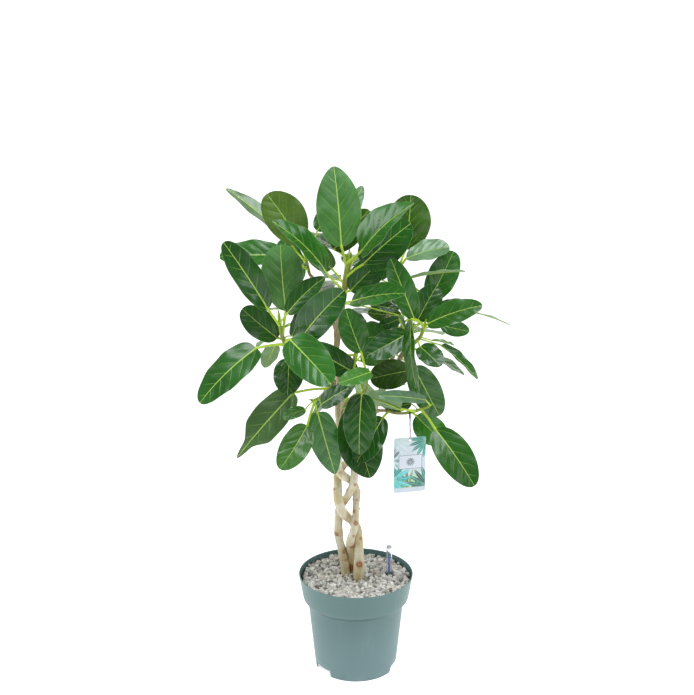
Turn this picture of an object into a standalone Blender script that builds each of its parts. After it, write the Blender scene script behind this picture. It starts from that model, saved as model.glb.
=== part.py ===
# Potted banyan tree: a nursery pot of pale granules, three braided woody stems, and a crown of
# leafy shoots, with a water gauge in the pot and a hang tag on one branch.
# Metres, +Z up. The origin is on the pot's axis at the floor, and -Y is the front.

import math
import random

import bmesh
import bpy
from mathutils import Matrix, Vector
from mathutils.geometry import delaunay_2d_cdt

GAP = 0.0003  # clearance between pieces that touch

# Pot
POT_HEIGHT = 0.2135
RIM_RADIUS = 0.1216
COLLAR_FOOT_RADIUS = 0.1125
COLLAR_FOOT_HEIGHT = 0.161
NECK_RADIUS = 0.102
NECK_HEIGHT = 0.150
BASE_RADIUS = 0.0867
POT_WALL = 0.0022
FLOOR_UNDERSIDE = 0.016
FLOOR_TOP = 0.0185
POT_SIDES = 48
NOTCH_ANGLES = (-145.7, -16.2, 99)  # degrees round the axis, where -90 is the front
NOTCH_WIDTH = 0.0515
NOTCH_HEIGHT = 0.015
DRAIN_RADIUS = 0.005
DRAIN_CIRCLE = 0.055
DRAIN_COUNT = 6

# Granule fill
FILL_LEVEL = 0.2015
GRAIN_SPACING = 0.0105
GRAIN_RELIEF = 0.0028
FILL_SEED = 7

# Water gauge
GAUGE_PLACE = (0.0711, 0.010)
GAUGE_RADIUS = 0.006
GAUGE_BORE = 0.0048
GAUGE_FOOT = 0.045
GAUGE_TOP = 0.2715
FLOAT_TOP = 0.2465
FLOAT_RADIUS = 0.0042
FLOAT_LENGTH = 0.030
ROD_RADIUS = 0.0022
MARK_HEIGHT = 0.2280
COLLAR_RADIUS = 0.0085
COLLAR_HEIGHT = 0.006

# Hang tag
TAG_CENTRE = (0.109, -0.057, 0.482)
TAG_WIDTH = 0.067
TAG_HEIGHT = 0.120
TAG_THICKNESS = 0.0008
TAG_CORNER = 0.003
TAG_TURN = math.radians(13)
TAG_HOLE_RADIUS = 0.0025
TAG_HOLE_DROP = 0.0065  # from the card's top edge to the hole's centre
TIE_RADIUS = 0.0007

# Leaves
BLADE_THICKNESS = 0.001
BLADE_STATIONS = 5
SMALL_BLADE_STATIONS = 4
SMALL_BLADE_LENGTH = 0.08
BLADE_FOLD = math.radians(11)
BLADE_BOW = 0.045  # rise of the blade's middle, as a share of its length
PETIOLE_RADIUS = 0.0019
PETIOLE_SIDES = 3
SHOOT_SIDES = 6
STEM_SIDES = 8

# Each woody stem: its main run from the foot in the fill to its top, then its branches.
# A point is (x, y, z, radius). A branch starts inside the run it grows from.
STEMS = {
    "stem_right": [
        [
            (-0.0225, 0.0158, 0.1400, 0.0085), (-0.0225, 0.0158, 0.2085, 0.0088),
            (-0.0289, 0.0119, 0.2553, 0.0085), (-0.0354, 0.0079, 0.2841, 0.0083),
            (-0.0374, 0.0049, 0.3149, 0.0082), (-0.0369, 0.0099, 0.3427, 0.0080),
            (-0.0309, 0.0149, 0.3615, 0.0078), (-0.0200, 0.0119, 0.3803, 0.0077),
            (-0.0126, -0.0010, 0.4002, 0.0076), (-0.0051, -0.0080, 0.4190, 0.0074),
            (-0.0036, -0.0099, 0.4389, 0.0071), (-0.0021, -0.0080, 0.4607, 0.0070),
            (0.0078, -0.0026, 0.5112, 0.0068), (0.0300, 0.0054, 0.5709, 0.0064),
            (0.0560, -0.0060, 0.6300, 0.0058), (0.0780, -0.0220, 0.6800, 0.0050),
            (0.0900, -0.0320, 0.7050, 0.0044),
        ],
        [(0.0300, 0.0054, 0.5709, 0.0045), (0.0440, -0.0284, 0.5882, 0.0040), (0.0600, -0.0501, 0.5960, 0.0034)],
        [(0.0560, -0.0060, 0.6300, 0.0048), (0.0640, 0.0220, 0.7100, 0.0044), (0.0660, 0.0400, 0.7800, 0.0040),
         (0.0700, 0.0420, 0.8200, 0.0037)],
        [(0.0300, 0.0054, 0.5709, 0.0050), (0.0560, 0.0400, 0.6250, 0.0045), (0.0780, 0.0620, 0.6800, 0.0040)],
        [(0.0560, -0.0060, 0.6300, 0.0044), (0.0780, 0.0000, 0.6720, 0.0040), (0.0940, 0.0050, 0.7020, 0.0036)],
    ],
    "stem_centre": [
        [
            (0.0063, -0.0099, 0.1400, 0.0100), (0.0063, -0.0099, 0.2085, 0.0105),
            (0.0068, -0.0080, 0.2534, 0.0098), (0.0058, -0.0010, 0.2841, 0.0090),
            (0.0028, 0.0089, 0.3089, 0.0082), (-0.0061, 0.0139, 0.3238, 0.0080),
            (-0.0190, 0.0040, 0.3397, 0.0080), (-0.0299, -0.0080, 0.3595, 0.0081),
            (-0.0369, -0.0099, 0.3843, 0.0083), (-0.0383, -0.0050, 0.4101, 0.0081),
            (-0.0374, 0.0089, 0.4329, 0.0078), (-0.0279, 0.0149, 0.4498, 0.0076),
            (-0.0170, 0.0099, 0.4686, 0.0074), (-0.0160, 0.0166, 0.5249, 0.0072),
            (-0.0300, 0.0300, 0.6000, 0.0068), (-0.0395, 0.0260, 0.6800, 0.0062),
            (-0.0410, 0.0220, 0.7350, 0.0056), (-0.0340, 0.0200, 0.7850, 0.0048),
        ],
        [(-0.0410, 0.0220, 0.7400, 0.0040), (-0.0560, 0.0260, 0.7900, 0.0038), (-0.0740, 0.0310, 0.8300, 0.0036),
         (-0.0920, 0.0350, 0.8560, 0.0034)],
        [(-0.0395, 0.0260, 0.7000, 0.0044), (-0.0300, 0.0460, 0.7650, 0.0040), (-0.0220, 0.0560, 0.8150, 0.0037)],
        [(-0.0300, 0.0300, 0.6000, 0.0044), (-0.0220, 0.0500, 0.6180, 0.0040), (-0.0120, 0.0620, 0.6400, 0.0037)],
    ],
    "stem_left": [
        [
            (-0.0051, 0.0218, 0.1400, 0.0078), (-0.0051, 0.0218, 0.2085, 0.0080),
            (-0.0091, 0.0149, 0.2504, 0.0077), (-0.0121, 0.0010, 0.2762, 0.0075),
            (-0.0106, -0.0099, 0.2970, 0.0075), (-0.0051, -0.0129, 0.3159, 0.0076),
            (-0.0011, -0.0080, 0.3397, 0.0075), (0.0003, -0.0000, 0.3655, 0.0073),
            (0.0013, 0.0109, 0.3913, 0.0072), (-0.0061, 0.0168, 0.4101, 0.0073),
            (-0.0165, 0.0069, 0.4250, 0.0074), (-0.0279, -0.0099, 0.4389, 0.0076),
            (-0.0369, -0.0139, 0.4567, 0.0076), (-0.0379, -0.0153, 0.4974, 0.0074),
            (-0.0360, -0.0104, 0.5523, 0.0070), (-0.0430, -0.0080, 0.6300, 0.0064),
            (-0.0760, -0.0220, 0.6720, 0.0054), (-0.1060, -0.0340, 0.7000, 0.0048),
            (-0.1280, -0.0420, 0.7200, 0.0044),
        ],
        [(-0.0400, -0.0060, 0.6000, 0.0040), (-0.0400, -0.0240, 0.6320, 0.0034), (-0.0450, -0.0340, 0.6440, 0.0030)],
        [(-0.0360, -0.0115, 0.5477, 0.0040), (-0.0330, -0.0252, 0.5672, 0.0036), (-0.0300, -0.0347, 0.5852, 0.0032)],
        [(-0.0760, -0.0220, 0.6720, 0.0042), (-0.0920, 0.0200, 0.7120, 0.0040), (-0.1040, 0.0520, 0.7450, 0.0036)],
    ],
}

# Each leafy shoot: the woody run whose end it grows from, its green stem as (x, y, z, radius)
# ending in a bud, and its leaves. A leaf is (place along the stem 0 to 1, blade base, blade tip,
# blade width, way it faces). A leaf of the far side is given by directions instead: (place along
# the stem, azimuth, rise, petiole, blade length, blade width), azimuth and rise in degrees, with
# 0 to the right and 90 to the back.
SHOOTS = {
    "shoot_top": (
        ("stem_centre", 0),
        [(-0.027, 0.017, 0.825, 0.0042), (-0.023, 0.013, 0.860, 0.0038),
         (-0.019, 0.009, 0.890, 0.0032), (-0.016, 0.007, 0.914, 0.0010)],
        [
            (0.74, (-0.030, -0.005, 0.925), (-0.045, 0.030, 1.080), 0.090, (0.0, -1.0, 0.15)),
            (0.80, (0.010, -0.042, 0.925), (0.105, -0.120, 1.035), 0.082, (-0.45, -0.65, 0.6)),
            (0.55, (0.013, -0.004, 0.889), (0.105, -0.035, 0.978), 0.086, (0.1, -0.9, 0.45)),
            (0.35, (-0.060, -0.025, 0.877), (-0.158, -0.120, 1.000), 0.076, (0.35, -0.60, 0.70)),
            (0.12, (-0.010, -0.040, 0.822), (0.092, -0.125, 0.862), 0.060, (0.0, -0.65, 0.75)),
            (0.45, (-0.050, 0.028, 0.872), (-0.105, 0.010, 0.940), 0.048, (0.1, -1.0, 0.0)),
            (0.30, (-0.012, 0.022, 0.828), (0.055, 0.030, 0.892), 0.062, (0.0, -1.0, 0.2)),
            (0.14, (0.084, 0.000, 0.783), (0.099, -0.002, 0.749), 0.020, (0.85, -0.50, 0.30)),
        ],
    ),
    "shoot_upper_left": (
        ("stem_centre", 1),
        [(-0.098, 0.038, 0.872, 0.0032), (-0.102, 0.040, 0.888, 0.0028),
         (-0.104, 0.041, 0.902, 0.0010)],
        [
            (0.70, (-0.112, 0.050, 0.918), (-0.180, 0.055, 1.020), 0.082, (0.1, -1.0, 0.1)),
            (0.50, (-0.140, 0.085, 0.920), (-0.270, 0.125, 1.015), 0.044, (0.3, -0.5, 0.8)),
            (0.25, (-0.145, 0.025, 0.900), (-0.275, 0.020, 0.900), 0.066, (0.0, -0.7, 0.7)),
            (0.60, (-0.080, 0.085, 0.938), (-0.035, 0.120, 0.990), 0.044, (0.1, -0.6, 0.8)),
        ],
    ),
    "shoot_left": (
        ("stem_left", 0),
        [(-0.142, -0.048, 0.738, 0.0042), (-0.150, -0.050, 0.760, 0.0038),
         (-0.153, -0.050, 0.785, 0.0032), (-0.155, -0.050, 0.809, 0.0010)],
        [
            (0.62, (-0.175, -0.070, 0.815), (-0.255, -0.100, 0.955), 0.062, (0.4, -0.8, 0.3)),
            (0.40, (-0.140, -0.052, 0.806), (-0.150, -0.030, 0.935), 0.084, (0.0, -0.92, 0.35)),
            (0.70, (-0.136, -0.070, 0.806), (-0.062, -0.072, 0.880), 0.048, (-0.3, -0.8, 0.5)),
            (0.30, (-0.110, -0.085, 0.757), (-0.025, -0.140, 0.870), 0.072, (-0.35, -0.85, 0.38)),
            (0.35, (-0.130, -0.020, 0.745), (-0.108, -0.010, 0.805), 0.030, (0.5, -0.8, 0.0)),
            (0.30, (-0.159, -0.028, 0.743), (-0.228, -0.030, 0.804), 0.060, (0.2, -0.9, 0.3)),
            (0.22, (-0.197, -0.088, 0.740), (-0.306, -0.145, 0.646), 0.072, (-0.2, -0.75, 0.62)),
            (0.12, (-0.165, -0.005, 0.722), (-0.188, 0.012, 0.668), 0.038, (-0.3, 0.9, 0.3)),
            (0.26, (-0.130, -0.105, 0.762), (-0.050, -0.190, 0.700), 0.078, (0.1, -0.9, 0.4)),
            (0.10, (-0.135, -0.068, 0.712), (-0.137, -0.095, 0.645), 0.061, (0.0, -1.0, 0.2)),
        ],
    ),
    "shoot_low_left": (
        ("stem_left", 1),
        [(-0.062, -0.060, 0.634, 0.0028), (-0.086, -0.070, 0.624, 0.0026),
         (-0.096, -0.073, 0.629, 0.0012)],
        [
            (0.22, (-0.127, -0.045, 0.633), (-0.244, -0.085, 0.509), 0.074, (-0.3, -0.8, 0.45)),
            (0.85, (-0.102, -0.100, 0.616), (-0.145, -0.125, 0.607), 0.026, (0.0, -0.8, 0.6)),
            (0.80, (-0.098, -0.105, 0.584), (-0.150, -0.165, 0.515), 0.060, (-0.1, -0.97, 0.2)),
            (0.84, (-0.078, -0.085, 0.605), (-0.043, -0.070, 0.466), 0.062, (0.1, -1.0, 0.1)),
            (0.72, (-0.090, -0.045, 0.590), (-0.085, -0.030, 0.548), 0.022, (0.3, -0.9, 0.0)),
            (0.70, (-0.070, -0.092, 0.624), (-0.004, -0.140, 0.682), 0.040, (0.0, -0.8, 0.6)),
        ],
    ),
    "shoot_front": (
        ("stem_left", 2),
        [(-0.022, -0.050, 0.612, 0.0030), (-0.004, -0.070, 0.636, 0.0029),
         (0.018, -0.084, 0.652, 0.0028), (0.021, -0.092, 0.680, 0.0025), (0.023, -0.097, 0.705, 0.0010)],
        [
            (0.95, (0.027, -0.122, 0.701), (-0.034, -0.180, 0.697), 0.038, (0.0, -0.7, 0.7)),
            (0.85, (0.009, -0.078, 0.728), (-0.022, -0.065, 0.814), 0.058, (0.2, -0.95, 0.1)),
            (0.20, (0.008, -0.026, 0.741), (0.061, -0.039, 0.753), 0.066, (0.1, -0.9, 0.3)),
            (0.55, (0.010, -0.122, 0.656), (0.005, -0.150, 0.540), 0.067, (0.0, -1.0, 0.1)),
            (0.18, (0.000, -0.028, 0.668), (-0.105, -0.040, 0.735), 0.056, (0.2, -0.9, 0.3)),
            (0.12, (-0.012, -0.058, 0.605), (0.028, -0.114, 0.476), 0.092, (0.05, -0.8, 0.6)),
        ],
    ),
    "shoot_tag": (
        ("stem_right", 1),
        [(0.080, -0.053, 0.592, 0.0032), (0.108, -0.054, 0.5935, 0.0030),
         (0.141, -0.053, 0.604, 0.0027), (0.156, -0.053, 0.613, 0.0010)],
        [
            (0.72, (0.158, -0.095, 0.572), (0.232, -0.165, 0.480), 0.070, (-0.1, -0.9, 0.4)),
            (0.45, (0.123, -0.014, 0.573), (0.184, -0.010, 0.514), 0.062, (0.1, -1.0, 0.0)),
            (0.60, (0.088, -0.090, 0.614), (0.020, -0.078, 0.635), 0.086, (0.2, 0.66, 0.7)),
            (0.92, (0.138, -0.092, 0.633), (0.043, -0.128, 0.655), 0.028, (0.0, -0.75, 0.65)),
            (0.08, (0.053, -0.085, 0.594), (0.000, -0.128, 0.515), 0.060, (-0.1, -0.85, 0.5)),
            (0.66, (0.112, -0.024, 0.602), (0.064, -0.015, 0.588), 0.028, (0.0, -0.8, 0.6)),
        ],
    ),
    "shoot_right": (
        ("stem_right", 0),
        [(0.113, -0.045, 0.735, 0.0040), (0.127, -0.050, 0.752, 0.0037),
         (0.134, -0.052, 0.772, 0.0030), (0.138, -0.053, 0.791, 0.0010)],
        [
            (0.80, (0.107, -0.092, 0.800), (0.119, -0.140, 0.662), 0.054, (-0.9, -0.42, 0.0)),
            (0.85, (0.114, -0.060, 0.792), (0.067, -0.050, 0.911), 0.052, (0.1, -1.0, 0.1)),
            (0.80, (0.122, -0.034, 0.782), (0.160, -0.020, 0.850), 0.060, (0.0, -1.0, 0.1)),
            (0.72, (0.140, -0.062, 0.782), (0.244, -0.090, 0.828), 0.052, (0.0, -0.75, 0.62)),
            (0.40, (0.100, -0.068, 0.764), (0.020, -0.100, 0.728), 0.056, (0.0, -0.85, 0.50)),
            (0.50, (0.125, -0.085, 0.742), (0.163, -0.130, 0.716), 0.048, (0.1, -0.8, 0.6)),
            (0.55, (0.168, -0.062, 0.738), (0.240, -0.090, 0.677), 0.034, (0.66, -0.4, 0.64)),
            (0.60, (0.150, -0.040, 0.742), (0.196, -0.030, 0.728), 0.030, (0.1, 0.40, 0.90)),
            (0.12, (0.115, -0.038, 0.686), (0.170, -0.028, 0.577), 0.064, (0.1, -1.0, 0.1)),
            (0.30, (0.085, -0.028, 0.782), (0.042, -0.020, 0.764), 0.024, (0.0, -0.9, 0.4)),
            (0.16, (0.108, -0.038, 0.678), (0.028, -0.026, 0.656), 0.062, (0.1, -0.95, 0.3)),
        ],
    ),
    "shoot_upper_right": (
        ("stem_right", 2),
        [(0.078, 0.042, 0.848, 0.0035), (0.088, 0.041, 0.874, 0.0030),
         (0.092, 0.040, 0.892, 0.0010)],
        [
            (0.80, (0.100, 0.050, 0.907), (0.110, 0.060, 1.017), 0.090, (0.05, -1.0, 0.05)),
            (0.70, (0.100, 0.018, 0.896), (0.186, 0.015, 0.920), 0.056, (0.0, -0.55, 0.8)),
            (0.60, (0.106, -0.012, 0.863), (0.216, -0.030, 0.877), 0.028, (0.0, 0.26, 0.96)),
            (0.40, (0.150, 0.036, 0.806), (0.197, 0.042, 0.905), 0.064, (0.0, -1.0, 0.1)),
            (0.20, (0.045, 0.052, 0.845), (0.073, 0.066, 0.890), 0.034, (0.0, -1.0, 0.2)),
        ],
    ),
    "shoot_right_rear": (
        ("stem_right", 4),
        [(0.107, 0.010, 0.728, 0.0034), (0.114, 0.014, 0.748, 0.0030), (0.118, 0.016, 0.766, 0.0010)],
        [
            (0.85, (0.185, 0.000, 0.796), (0.314, 0.018, 0.758), 0.034, (0.20, 0.28, 0.95)),
            (0.70, (0.160, 0.048, 0.772), (0.225, 0.060, 0.794), 0.040, (0.0, -0.8, 0.5)),
            (0.60, (0.170, -0.010, 0.765), (0.228, -0.010, 0.752), 0.034, (0.0, -0.9, 0.3)),
            (0.40, (0.093, 0.063, 0.763), (0.024, 0.067, 0.770), 0.034, (0.0, -0.85, 0.50)),
            (0.20, (0.074, -0.002, 0.720), (0.010, 0.004, 0.684), 0.050, (0.1, -1.0, 0.2)),
        ],
    ),
    "shoot_far_top": (
        ("stem_centre", 2),
        [(-0.016, 0.064, 0.850, 0.0034), (-0.012, 0.070, 0.880, 0.0028), (-0.010, 0.072, 0.898, 0.0010)],
        [
            (0.80, (-0.045, 0.060, 0.905), (0.026, 0.065, 0.985), 0.058, (0.0, -1.0, 0.1)),
            (0.85, (-0.024, 0.100, 0.950), (0.013, 0.120, 1.025), 0.034, (0.3, -0.5, 0.8)),
            (0.15, (0.030, 0.034, 0.794), (0.087, 0.032, 0.786), 0.026, (0.0, -0.8, 0.6)),
            (0.75, 140, 30, 0.035, 0.110, 0.058),
            (0.70, 28, 38, 0.035, 0.110, 0.060),
            (0.45, 80, 18, 0.030, 0.100, 0.056),
            (0.20, 125, 6, 0.035, 0.080, 0.048),
        ],
    ),
    "shoot_far_left": (
        ("stem_left", 3),
        [(-0.110, 0.064, 0.768, 0.0033), (-0.116, 0.072, 0.790, 0.0028), (-0.119, 0.076, 0.806, 0.0010)],
        [
            (0.92, 110, 58, 0.030, 0.115, 0.062),
            (0.80, 168, 34, 0.035, 0.090, 0.052),
            (0.60, 62, 22, 0.040, 0.105, 0.058),
            (0.40, 130, 2, 0.035, 0.110, 0.062),
            (0.20, 152, -22, 0.040, 0.100, 0.056),
            (0.10, 95, -24, 0.035, 0.095, 0.054),
        ],
    ),
    "shoot_far_right": (
        ("stem_right", 3),
        [(0.088, 0.074, 0.712, 0.0036), (0.096, 0.082, 0.742, 0.0030), (0.100, 0.086, 0.760, 0.0010)],
        [
            (0.92, 100, 34, 0.033, 0.092, 0.058),
            (0.80, 32, 20, 0.040, 0.105, 0.056),
            (0.65, 140, 20, 0.035, 0.105, 0.056),
            (0.45, 48, 2, 0.040, 0.110, 0.062),
            (0.25, -12, -10, 0.045, 0.110, 0.056),
            (0.12, 95, -10, 0.035, 0.090, 0.052),
            (0.05, 20, -40, 0.035, 0.100, 0.054),
        ],
    ),
    "shoot_far_low": (
        ("stem_centre", 3),
        [(-0.006, 0.076, 0.655, 0.0033), (-0.002, 0.084, 0.674, 0.0028), (0.000, 0.087, 0.690, 0.0010)],
        [
            (0.92, 95, 36, 0.030, 0.095, 0.056),
            (0.70, 160, -6, 0.040, 0.110, 0.060),
            (0.30, (0.055, 0.010, 0.748), (0.088, 0.006, 0.768), 0.022, (0.0, -0.9, 0.4)),
            (0.55, 28, -20, 0.040, 0.105, 0.058),
            (0.30, 110, -34, 0.040, 0.110, 0.060),
            (0.10, 55, -48, 0.040, 0.110, 0.058),
            (0.20, 195, -40, 0.040, 0.100, 0.056),
        ],
    ),
}

COLOURS = {
    "pot_plastic": ((0.155, 0.270, 0.265), 0.45),
    "granule": ((0.600, 0.560, 0.520), 0.95),
    "bark": ((0.560, 0.450, 0.290), 0.80),
    "leaf": ((0.030, 0.130, 0.035), 0.32),
    "clear_plastic": ((0.800, 0.850, 0.880), 0.10),
    "blue_plastic": ((0.010, 0.090, 0.420), 0.35),
    "dark_rubber": ((0.020, 0.025, 0.030), 0.60),
    "printed_card": ((0.700, 0.800, 0.780), 0.55),
    "tie_plastic": ((0.720, 0.700, 0.680), 0.50),
}


def clear_scene():
    for old in list(bpy.data.objects):
        bpy.data.objects.remove(old, do_unlink=True)


def make_materials():
    materials = {}
    for name, (colour, roughness) in COLOURS.items():
        material = bpy.data.materials.new(name)
        material.use_nodes = True
        shader = material.node_tree.nodes["Principled BSDF"]
        shader.inputs["Base Color"].default_value = (*colour, 1.0)
        shader.inputs["Roughness"].default_value = roughness
        shader.inputs["Metallic"].default_value = 0.0
        if name == "clear_plastic":
            shader.inputs["Transmission Weight"].default_value = 0.9
        materials[name] = material
    return materials


def add_object(name, points, faces, material=None):
    mesh = bpy.data.meshes.new(name)
    mesh.from_pydata([tuple(point) for point in points], [], faces)
    mesh.validate()
    made = bpy.data.objects.new(name, mesh)
    bpy.context.scene.collection.objects.link(made)
    if material:
        mesh.materials.append(material)
    return made


def shade(made, degrees=40):
    made.data.shade_smooth()
    made.data.set_sharp_from_angle(angle=math.radians(degrees))


def solve_boolean(made, operation, others, solver="EXACT"):
    """Joins or cuts the given closed meshes in one Boolean, applies it and removes them."""
    group = bpy.data.collections.new("boolean_parts")
    bpy.context.scene.collection.children.link(group)
    for other in others:
        for holder in list(other.users_collection):
            holder.objects.unlink(other)
        group.objects.link(other)
    modifier = made.modifiers.new("join", "BOOLEAN")
    modifier.operation = operation
    modifier.operand_type = "COLLECTION"
    modifier.collection = group
    modifier.solver = solver
    graph = bpy.context.evaluated_depsgraph_get()
    solved = bpy.data.meshes.new_from_object(made.evaluated_get(graph))
    made.modifiers.remove(modifier)
    made.data = solved
    for other in others:
        bpy.data.objects.remove(other, do_unlink=True)
    bpy.data.collections.remove(group)


def ring(centre, radius, sides, turn=0.0):
    return [
        Vector((centre[0] + radius * math.cos(turn + math.tau * side / sides),
                centre[1] + radius * math.sin(turn + math.tau * side / sides),
                centre[2]))
        for side in range(sides)
    ]


def turned(name, profile, sides, material=None, centre=(0.0, 0.0), closed=False):
    """Turns a profile of (radius, height) round a vertical axis. It runs up the outer side."""
    points = []
    rows = []
    for radius, height in profile:
        if radius == 0.0:
            rows.append([len(points)] * sides)
            points.append(Vector((centre[0], centre[1], height)))
        else:
            rows.append(list(range(len(points), len(points) + sides)))
            points += ring((centre[0], centre[1], height), radius, sides)
    pairs = list(zip(rows, rows[1:]))
    if closed:
        pairs.append((rows[-1], rows[0]))
    faces = []
    for lower, upper in pairs:
        for side in range(sides):
            following = (side + 1) % sides
            corners = [lower[side], lower[following], upper[following], upper[side]]
            corners = [corner for place, corner in enumerate(corners) if corner not in corners[:place]]
            if len(corners) > 2:
                faces.append(corners)
    return add_object(name, points, faces, material)


def smooth_run(points, steps):
    """Points with a radius each, read from one smooth curve through the given ones."""
    run = [Vector(point) for point in points]
    ends = [run[0] * 2 - run[1]] + run + [run[-1] * 2 - run[-2]]
    smoothed = []
    for place in range(len(run) - 1):
        before, start, finish, after = ends[place:place + 4]
        for step in range(steps):
            t = step / steps
            smoothed.append(0.5 * (
                2 * start + (finish - before) * t
                + (2 * before - 5 * start + 4 * finish - after) * t * t
                + (3 * start - 3 * finish + after - before) * t ** 3
            ))
    return smoothed + [run[-1]]


def tube(name, run, sides, material=None, closed=False):
    """A closed round tube along points of (x, y, z, radius), or a closed loop of it."""
    centres = [Vector(point[:3]) for point in run]
    count = len(centres)
    points = []
    across = None
    for place, centre in enumerate(centres):
        if closed:
            along = centres[(place + 1) % count] - centres[place - 1]
        else:
            along = centres[min(place + 1, count - 1)] - centres[max(place - 1, 0)]
        along.normalize()
        if across is None:
            guide = Vector((0, 1, 0)) if abs(along.y) < 0.9 else Vector((1, 0, 0))
            across = along.cross(guide).normalized()
        else:
            across = (across - along * across.dot(along)).normalized()
        other = along.cross(across)
        for side in range(sides):
            turn = math.tau * side / sides
            points.append(centre + run[place][3] * (across * math.cos(turn) + other * math.sin(turn)))
    faces = []
    for place in range(count if closed else count - 1):
        here = place * sides
        there = (place + 1) % count * sides
        for side in range(sides):
            following = (side + 1) % sides
            faces.append([here + side, here + following, there + following, there + side])
    if not closed:
        faces.append(list(range(sides))[::-1])
        faces.append([(count - 1) * sides + side for side in range(sides)])
    return add_object(name, points, faces, material)


def slab(name, top, triangles, outline, offset, material=None):
    """A closed sheet: the triangles on top, the same ones below, and a wall round the outline."""
    count = len(top)
    points = list(top) + [point + offset for point in top]
    faces = [list(triangle) for triangle in triangles]
    faces += [[corner + count for corner in reversed(triangle)] for triangle in triangles]
    for here, there in zip(outline, outline[1:] + outline[:1]):
        faces += [[there, here, here + count], [there, here + count, there + count]]
    return add_object(name, points, faces, material)


def blade_profile(t):
    """Half width of a banyan leaf at t from base to tip, as a share of its greatest."""
    return math.sin(math.pi * t ** 0.94) ** 0.62


def blade(base, tip, width, facing):
    """A leaf blade bowed along its length and folded a little along its midrib."""
    base = Vector(base)
    length = (Vector(tip) - base).length
    along = (Vector(tip) - base).normalized()
    face = Vector(facing)
    face = (face - along * face.dot(along)).normalized()
    across = along.cross(face)
    stations = SMALL_BLADE_STATIONS if length < SMALL_BLADE_LENGTH else BLADE_STATIONS
    top = [base]
    for station in range(1, stations):
        t = 0.5 - 0.5 * math.cos(math.pi * station / stations)
        middle = base + along * length * t + face * length * BLADE_BOW * 4 * t * (1 - t)
        reach = width / 2 * blade_profile(t)
        edge = across * reach * math.cos(BLADE_FOLD)
        lift = face * reach * math.sin(BLADE_FOLD)
        top += [middle - edge + lift, middle, middle + edge + lift]
    top.append(Vector(tip))
    last = len(top) - 1
    triangles = [(0, 2, 1), (0, 3, 2), (last, last - 3, last - 2), (last, last - 2, last - 1)]
    for station in range(1, stations - 1):
        left, middle, right = 3 * station - 2, 3 * station - 1, 3 * station
        triangles += [(left, middle, left + 3), (middle, middle + 3, left + 3)]
        triangles += [(middle, right, middle + 3), (right, right + 3, middle + 3)]
    outline = [0] + list(range(3, last, 3)) + [last] + list(range(last - 3, 0, -3))
    made = slab("blade", top, triangles, outline, face * -BLADE_THICKNESS)
    return made, along, face


def point_on(run, place):
    """The point at a share of the run's length."""
    centres = [Vector(point[:3]) for point in run]
    lengths = [(there - here).length for here, there in zip(centres, centres[1:])]
    left = place * sum(lengths)
    for here, there, length in zip(centres, centres[1:], lengths):
        if left <= length:
            return here.lerp(there, left / length)
        left -= length
    return centres[-1]


def leaf(stem, place, base, tip, width, facing):
    """The blade and its petiole, which starts inside the stem and ends inside the blade."""
    made, along, face = blade(base, tip, width, facing)
    root = point_on(stem, place)
    base = Vector(base)
    length = (Vector(tip) - base).length
    reach = (base - root).length
    bend = root.lerp(base, 0.5) - face * 0.06 * reach + Vector((0, 0, 0.05 * reach))
    under = 0.10
    inside = base + along * length * under + face * (
        length * BLADE_BOW * 4 * under * (1 - under) - BLADE_THICKNESS / 2
    )
    run = [(*root, PETIOLE_RADIUS * 1.2), (*bend, PETIOLE_RADIUS),
           (*(base - face * BLADE_THICKNESS / 2), PETIOLE_RADIUS), (*inside, PETIOLE_RADIUS * 0.7)]
    petiole = tube("petiole", run, PETIOLE_SIDES)
    return [made, petiole]


def ray_leaf(stem, place, azimuth, rise, petiole, length, width):
    """The row of a leaf that points out from its stem, and droops a little past its petiole."""
    turn = math.radians(azimuth)
    climb = math.radians(rise)
    droop = math.radians(rise - 16)
    out = Vector((math.cos(turn), math.sin(turn), 0))
    base = point_on(stem, place) + (out * math.cos(climb) + Vector((0, 0, math.sin(climb)))) * petiole
    tip = base + (out * math.cos(droop) + Vector((0, 0, math.sin(droop)))) * length
    return place, base, tip, width, out * 0.55 + Vector((0, 0, 0.85))


def shoot_stem(parent, listed):
    """The shoot's stem, which leaves the end of its woody run straight on, a gap away."""
    stem_name, run_number = parent
    before, end = smooth_run(STEMS[stem_name][run_number], 2)[-2:]
    along = (Vector(end[:3]) - Vector(before[:3])).normalized()
    start = Vector(end[:3]) + along * GAP
    return [(*start, end[3]), (*(start + along * 0.005), end[3] * 0.97)] + listed


def leafy_shoot(name, stem, leaves, material):
    made = tube(name, stem, SHOOT_SIDES, material)
    parts = []
    for row in leaves:
        parts += leaf(stem, *(row if len(row) == 5 else ray_leaf(stem, *row)))
    solve_boolean(made, "UNION", parts)
    shade(made)
    made.data.materials.clear()
    made.data.materials.append(material)
    return made


def woody_stem(name, runs, material):
    made = tube(name, smooth_run(runs[0], 2), STEM_SIDES, material)
    branches = [tube("branch", smooth_run(run, 2), SHOOT_SIDES) for run in runs[1:]]
    solve_boolean(made, "UNION", branches)
    shade(made)
    made.data.materials.clear()
    made.data.materials.append(material)
    return made


def inner_radius(height):
    """The pot's inner radius at a height."""
    outer = [(0.0, BASE_RADIUS), (NECK_HEIGHT, NECK_RADIUS), (COLLAR_FOOT_HEIGHT, COLLAR_FOOT_RADIUS),
             (POT_HEIGHT, RIM_RADIUS)]
    for (low, low_radius), (high, high_radius) in zip(outer, outer[1:]):
        if height <= high:
            share = (height - low) / (high - low)
            return low_radius + share * (high_radius - low_radius) - POT_WALL
    return RIM_RADIUS - POT_WALL


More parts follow.
